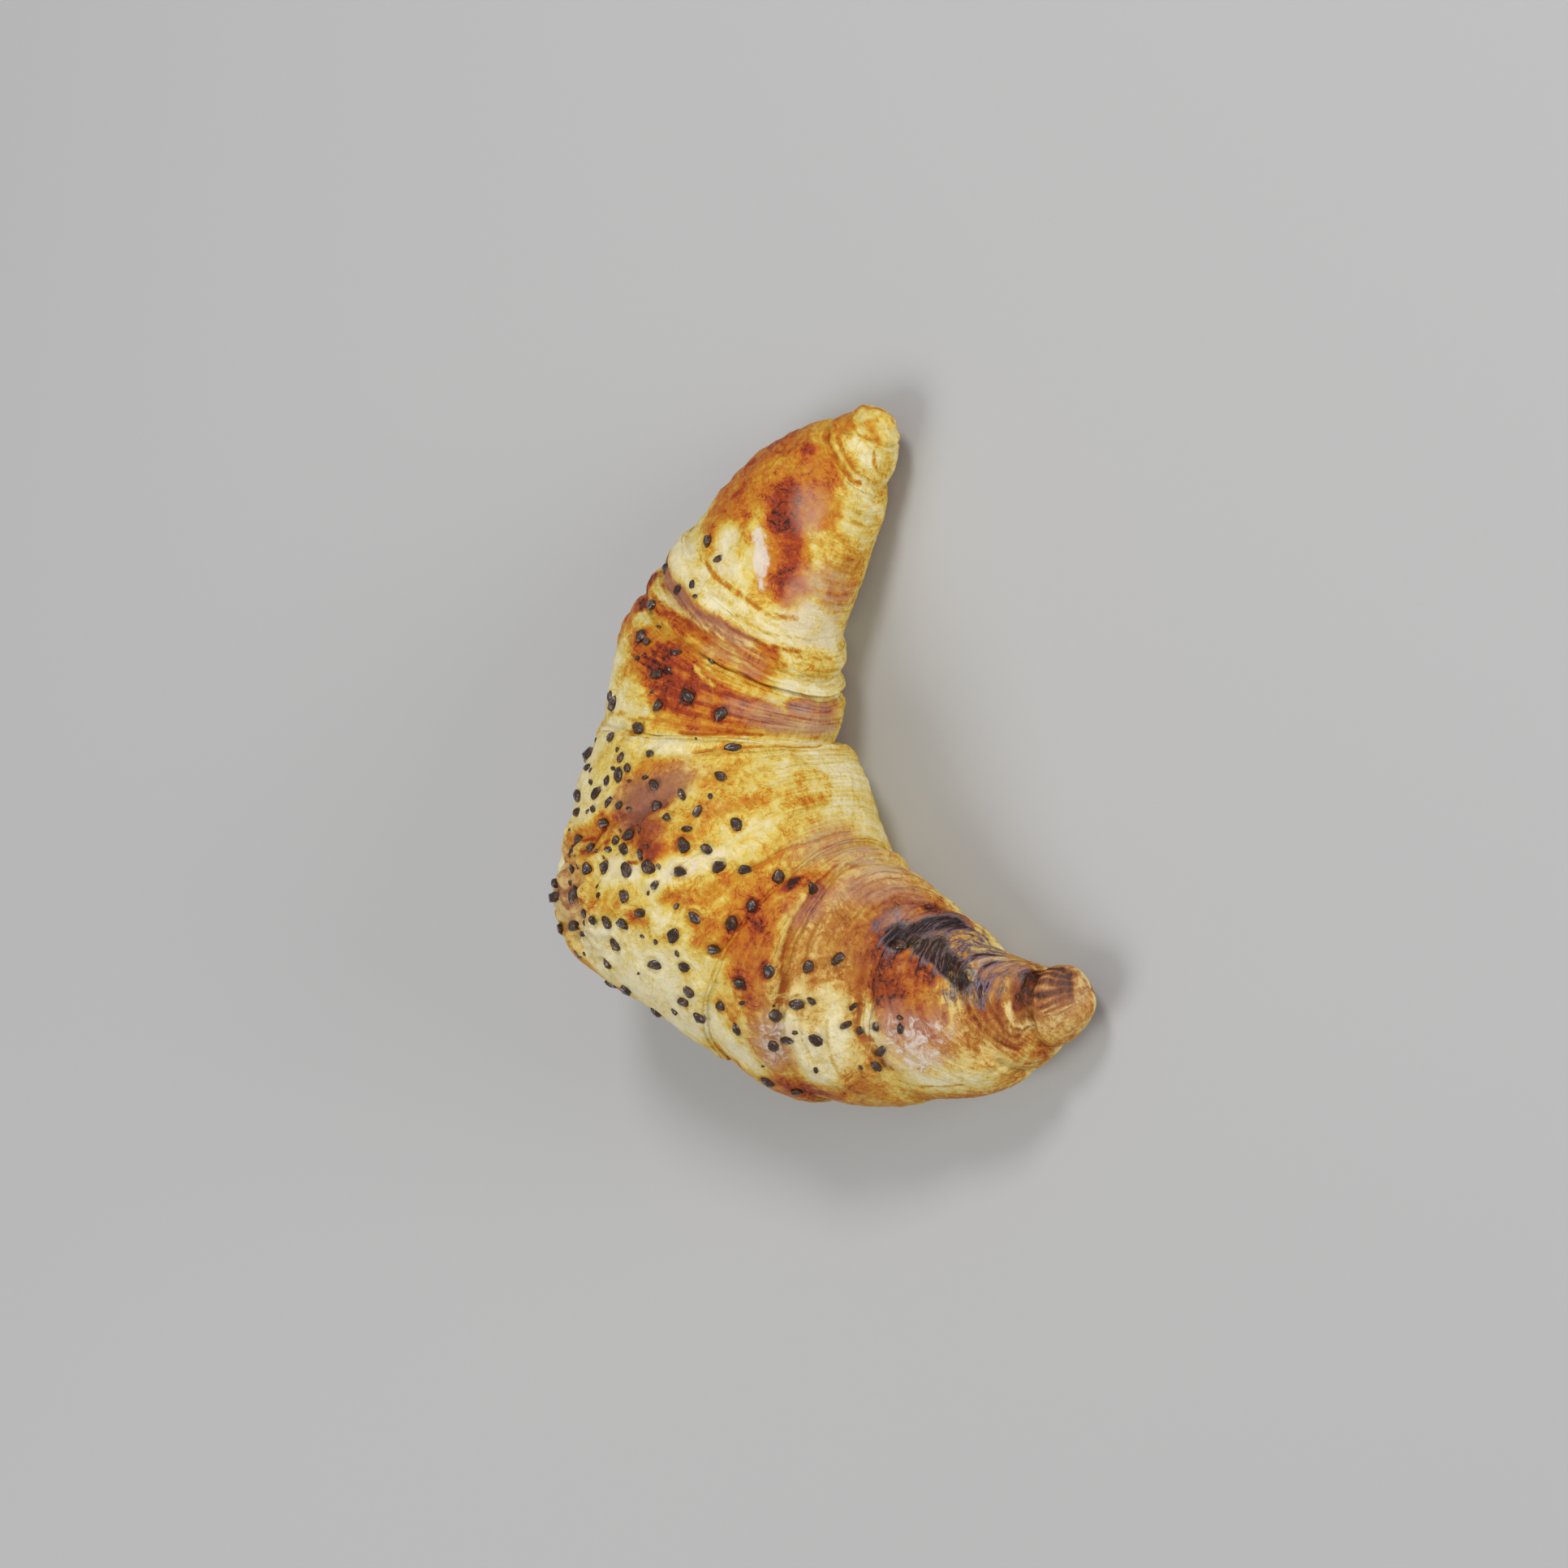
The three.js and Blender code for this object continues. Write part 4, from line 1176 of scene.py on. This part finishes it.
class CROISSANT_OT_loaf(bpy.types.Operator):
    """Model the baked loaf: a sphere's rows are drawn out along the roll and stepped at each turn"""

    bl_idname = "croissant.loaf"
    bl_label = "Loaf"

    def execute(self, context):
        shape = crust()
        for row, column, size in seed_places()["large"]:
            shape.dimple(row, column, size[0] * POCKET_WIDTH, POCKET_DEPTH)
        rings, columns = shape.along.shape[0] - 1, shape.along.shape[1]
        deselect()
        bpy.ops.mesh.primitive_uv_sphere_add(segments=columns, ring_count=rings, radius=1)
        loaf = context.object
        sphere = np.empty(len(loaf.data.vertices) * 3)
        loaf.data.vertices.foreach_get("co", sphere)
        x, y, z = sphere.reshape(-1, 3).T
        row = np.rint(np.arctan2(np.hypot(x, y), z) / np.pi * rings).astype(int)
        column = np.rint(np.arctan2(y, x) / (2 * np.pi) * columns).astype(int) % columns
        poles = (row == 0) | (row == rings)
        if len(set(zip(row[~poles], column[~poles]))) != len(row) - 2:
            raise RuntimeError("the sphere's rows don't match the crust's")
        loaf.data.vertices.foreach_set("co", (shape.points[row, column] * MM).ravel())
        for name in CRUST_VALUES:
            add_value(loaf.data, name, getattr(shape, name)[row, column])
        add_value(loaf.data, "grain", shape.grain[row, column], "FLOAT_VECTOR")
        loaf.data.update()
        bpy.ops.object.shade_smooth()
        finish_piece(loaf, "baked_loaf", crust_material(), "crust", "loaf")
        return {"FINISHED"}


PLACES = {}


def seed_places():
    """Row, column and half sizes of each large seed, medium seed and chip, worked out once."""
    if not PLACES:
        shape, draw, settings = crust(), random.Random(7), bpy.context.scene.seed_settings
        PLACES["large"] = [large_place(shape, draw, name) for name in SEED_NODES]
        taken = [(shape.points[row, column], size[0]) for row, column, size in PLACES["large"]]
        PLACES["medium"] = scatter(shape, draw, taken, settings.medium_count, MEDIUM_RADII)
        PLACES["small"] = scatter(shape, draw, taken, settings.small_count, CHIP_RADII)
    return PLACES


def large_place(shape, draw, node):
    low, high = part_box(node)
    row, column = shape.nearest(np.array((low + high) / 2) / MM)
    return row, column, tuple(draw.uniform(*limits) for limits in LARGE_SIZES)


def scatter(shape, draw, taken, count, radii):
    """Places for seeds in the drifts, clear of those already taken, which it adds to."""
    found = []
    shares = [share for _, _, share in SEED_DRIFTS]
    for _ in range(SEED_TRIES):
        if len(found) == count:
            break
        (middle, degrees), spread, _ = draw.choices(SEED_DRIFTS, shares)[0]
        along = middle + draw.gauss(0, spread) / ROLL_LENGTH
        angle = math.radians(degrees) + draw.gauss(0, spread) / SEED_ROLL_RADIUS
        if not SEEDED_ALONG[0] < along < SEEDED_ALONG[1]:
            continue
        if not SEEDED_DEGREES[0] < math.degrees(angle) < SEEDED_DEGREES[1]:
            continue
        row = int(np.abs(shape.along[:, 0] - along).argmin())
        column = int(np.abs(shape.angle[row] - angle % (2 * math.pi)).argmin())
        point = shape.points[row, column]
        radius = draw.uniform(*radii)
        if any(np.linalg.norm(point - p) < (r + radius) * SEED_CROWDING for p, r in taken):
            continue
        width = radius * draw.uniform(*WIDTH_SHARES)
        found.append((row, column, (radius, width, radius * draw.uniform(*THICKNESS_SHARES))))
        taken.append((point, radius))
    return found


# A seed's flats cut off what stands past them, and its crease is a narrow groove.
FLAT_FROM, FLAT_CUT = 0.74, 0.9
CREASE_DEPTH, CREASE_WIDTH = 0.16, 0.22
SHARP_EDGE = math.radians(32)


def seed_shape(subdivisions, seed, roughness):
    """Models one seed of radius 1: a rough pebble with four flats and a crease along its top."""
    deselect()
    bpy.ops.mesh.primitive_ico_sphere_add(subdivisions=subdivisions, radius=1)
    made = bpy.context.object
    bpy.ops.object.mode_set(mode="EDIT")
    bpy.ops.mesh.select_all(action="SELECT")
    bpy.ops.transform.vertex_random(offset=roughness, uniform=0.4, normal=0.6, seed=seed)
    bpy.ops.object.mode_set(mode="OBJECT")
    draw = random.Random(seed)
    flats = [Vector((draw.uniform(-0.5, 0.5), draw.uniform(-0.5, 0.5), 1)).normalized()]
    turns = [draw.uniform(start, start + 2) for start in (0, 2, 4)]
    flats += [Vector((math.cos(a), math.sin(a), draw.uniform(0.1, 0.7))).normalized() for a in turns]
    crease = Vector((draw.uniform(-0.3, 0.3), 1, 0)).normalized()
    for vertex in made.data.vertices:
        for flat in flats:
            over = vertex.co.dot(flat) - FLAT_FROM
            if over > 0:
                vertex.co -= flat * over * FLAT_CUT
        if vertex.co.z > 0:
            vertex.co.z -= CREASE_DEPTH * math.exp(-((vertex.co.dot(crease) / CREASE_WIDTH) ** 2))
    deselect()
    made.select_set(True)
    bpy.context.view_layer.objects.active = made
    bpy.ops.object.shade_smooth_by_angle(angle=SHARP_EDGE)
    return made


def place_copy(shape, prototype, row, column, size, draw, lift):
    """A copy of a seed with its own mesh, set on the crust."""
    made = prototype.copy()
    made.data = prototype.data.copy()
    bpy.context.scene.collection.objects.link(made)
    normal = Vector(shape.normal[row, column])
    turn = normal.to_track_quat("Z", "Y").to_matrix().to_4x4()
    spin = Matrix.Rotation(draw.uniform(0, 2 * math.pi), 4, "Z")
    tilt = Matrix.Rotation(draw.gauss(0, SEED_TILT), 4, "X")
    tilt = tilt @ Matrix.Rotation(draw.gauss(0, SEED_TILT), 4, "Y")
    scale = Matrix.Diagonal((*size, 1))
    centre = Vector(shape.points[row, column]) + normal * lift * size[2]
    place = Matrix.Translation(centre) @ turn @ tilt @ spin @ scale
    made.data.transform(Matrix.Scale(MM, 4) @ place)
    return made


def remove(*objects):
    for one in objects:
        bpy.data.objects.remove(one)


class CROISSANT_OT_large_seeds(bpy.types.Operator):
    """Set the large dark seeds in their pockets in the crust"""

    bl_idname = "croissant.large_seeds"
    bl_label = "Large seeds"

    def execute(self, context):
        shape = crust()
        draw = random.Random(17)
        material = seed_material()
        kinds = [seed_shape(3, kind + 1, 0.07) for kind in range(6)]
        for name, (row, column, size) in zip(SEED_NODES, seed_places()["large"]):
            seed = place_copy(shape, draw.choice(kinds), row, column, size, draw, 0.45)
            finish_piece(seed, name.replace("seed", "crown_seed"), material, "seed", name)
        remove(*kinds)
        return {"FINISHED"}


class CROISSANT_OT_small_seeds(bpy.types.Operator):
    """Scatter the medium seeds and the chips of seed over the crust"""

    bl_idname = "croissant.small_seeds"
    bl_label = "Small seeds"

    def execute(self, context):
        shape = crust()
        draw = random.Random(29)
        material = seed_material()
        for name, places, lift in (
            ("medium_seeds", seed_places()["medium"], 0.4),
            ("seed_chips", seed_places()["small"], 0.3),
        ):
            kinds = [seed_shape(2, kind + 11, 0.12) for kind in range(5)]
            seeds = [place_copy(shape, draw.choice(kinds), *place, draw, lift) for place in places]
            remove(*kinds)
            deselect()
            for seed in seeds:
                seed.select_set(True)
            context.view_layer.objects.active = seeds[0]
            bpy.ops.object.join()
            finish_piece(context.object, name, material, "seed")
        return {"FINISHED"}


# ---------------------------------------------------------------- the stage

CAMERA_AIM = Vector((1, -7.5, 24.5)) * MM
CAMERA_TURN = math.radians(20.9)  # of the croissant in the camera's view
CAMERA_TILT = math.radians(35)  # of the view from straight down, towards the hollow side
FLOOR_SIZE = 6
SENSOR_WIDTH = 36
NEAREST_SEEN = 0.01
SKY_STRENGTH = 0.33
# Each light: how far it stands back, right and up of the croissant, its size and its watts.
LIGHTS = {
    "key_light": (0.75, -0.4, 0.7, 0.3, 4.6),
    "fill_light": (0.75, 0.68, 0.15, 0.6, 5.8),
    "side_light": (0.5, -0.8, -0.5, 0.6, 4.8),
}


def aimed(position, target, up):
    """A placing that looks from a position at a target, with "up" upwards in the picture."""
    back = (position - target).normalized()
    right = up.cross(back).normalized()
    turned = Matrix((right, back.cross(right), back)).transposed().to_4x4()
    return Matrix.Translation(position) @ turned


def camera_axes():
    sine, cosine = math.sin(CAMERA_TURN), math.cos(CAMERA_TURN)
    tilt_sine, tilt_cosine = math.sin(CAMERA_TILT), math.cos(CAMERA_TILT)
    back = Vector((-sine * tilt_sine, -cosine * tilt_sine, tilt_cosine))
    return back, Vector((cosine, -sine, 0))


def add_light(name, position, size, power):
    light = bpy.data.lights.new(name, "AREA")
    light.shape = "DISK"
    light.size = size
    light.energy = power
    made = bpy.data.objects.new(name, light)
    bpy.context.scene.collection.objects.link(made)
    made.matrix_world = aimed(position, CAMERA_AIM, Vector((0.9, -0.3, 0.05)))


class CROISSANT_OT_stage(bpy.types.Operator):
    """Add the camera, soft studio lights and a plain pale floor"""

    bl_idname = "croissant.stage"
    bl_label = "Stage"

    def execute(self, context):
        settings = context.scene.stage_settings
        back, up = camera_axes()
        right = up.cross(back)
        camera = bpy.data.cameras.new("camera")
        camera.lens = settings.lens
        camera.sensor_width = SENSOR_WIDTH
        camera.clip_start = NEAREST_SEEN
        viewer = bpy.data.objects.new("camera", camera)
        context.scene.collection.objects.link(viewer)
        viewer.matrix_world = aimed(CAMERA_AIM + back * settings.distance, CAMERA_AIM, up)
        context.scene.camera = viewer

        for name, (behind, beside, above, size, power) in LIGHTS.items():
            add_light(name, CAMERA_AIM + back * behind + right * beside + up * above, size, power)

        deselect()
        bpy.ops.mesh.primitive_plane_add(size=FLOOR_SIZE)
        floor = context.object
        floor.name = "floor"
        floor.data.materials.append(floor_material())

        world = bpy.data.worlds.new("studio")
        world.use_nodes = True
        sky = world.node_tree.nodes["Background"]
        sky.inputs["Color"].default_value = (1, 1, 1, 1)
        sky.inputs["Strength"].default_value = SKY_STRENGTH
        context.scene.world = world
        context.scene.view_settings.view_transform = "Standard"
        return {"FINISHED"}


class CROISSANT_PT_panel(bpy.types.Panel):
    """Buttons for each piece of the croissant"""

    bl_idname = "CROISSANT_PT_panel"
    bl_label = "Croissant"
    bl_space_type = "VIEW_3D"
    bl_region_type = "UI"
    bl_category = "Croissant"

    def draw(self, context):
        scene = context.scene
        groups = (
            (scene.loaf_settings, ("croissant.loaf",)),
            (scene.crust_finish, ()),
            (scene.seed_settings, ("croissant.large_seeds", "croissant.small_seeds")),
            (scene.stage_settings, ("croissant.stage",)),
        )
        for settings, operators in groups:
            box = self.layout.box()
            for name in settings.__annotations__:
                box.prop(settings, name)
            for operator in operators:
                box.operator(operator)


CLASSES = (
    LoafSettings, CrustFinish, SeedSettings, StageSettings, CROISSANT_OT_loaf,
    CROISSANT_OT_large_seeds, CROISSANT_OT_small_seeds, CROISSANT_OT_stage, CROISSANT_PT_panel,
)
SETTINGS = {
    "loaf_settings": LoafSettings,
    "crust_finish": CrustFinish,
    "seed_settings": SeedSettings,
    "stage_settings": StageSettings,
}


def register():
    for one in CLASSES:
        bpy.utils.register_class(one)
    for name, kind in SETTINGS.items():
        setattr(bpy.types.Scene, name, PointerProperty(type=kind))


def unregister():
    for name in SETTINGS:
        delattr(bpy.types.Scene, name)
    for one in reversed(CLASSES):
        bpy.utils.unregister_class(one)


def main():
    register()
    bpy.ops.croissant.loaf()
    bpy.ops.croissant.large_seeds()
    bpy.ops.croissant.small_seeds()
    bpy.ops.croissant.stage()


if __name__ == "__main__":
    main()
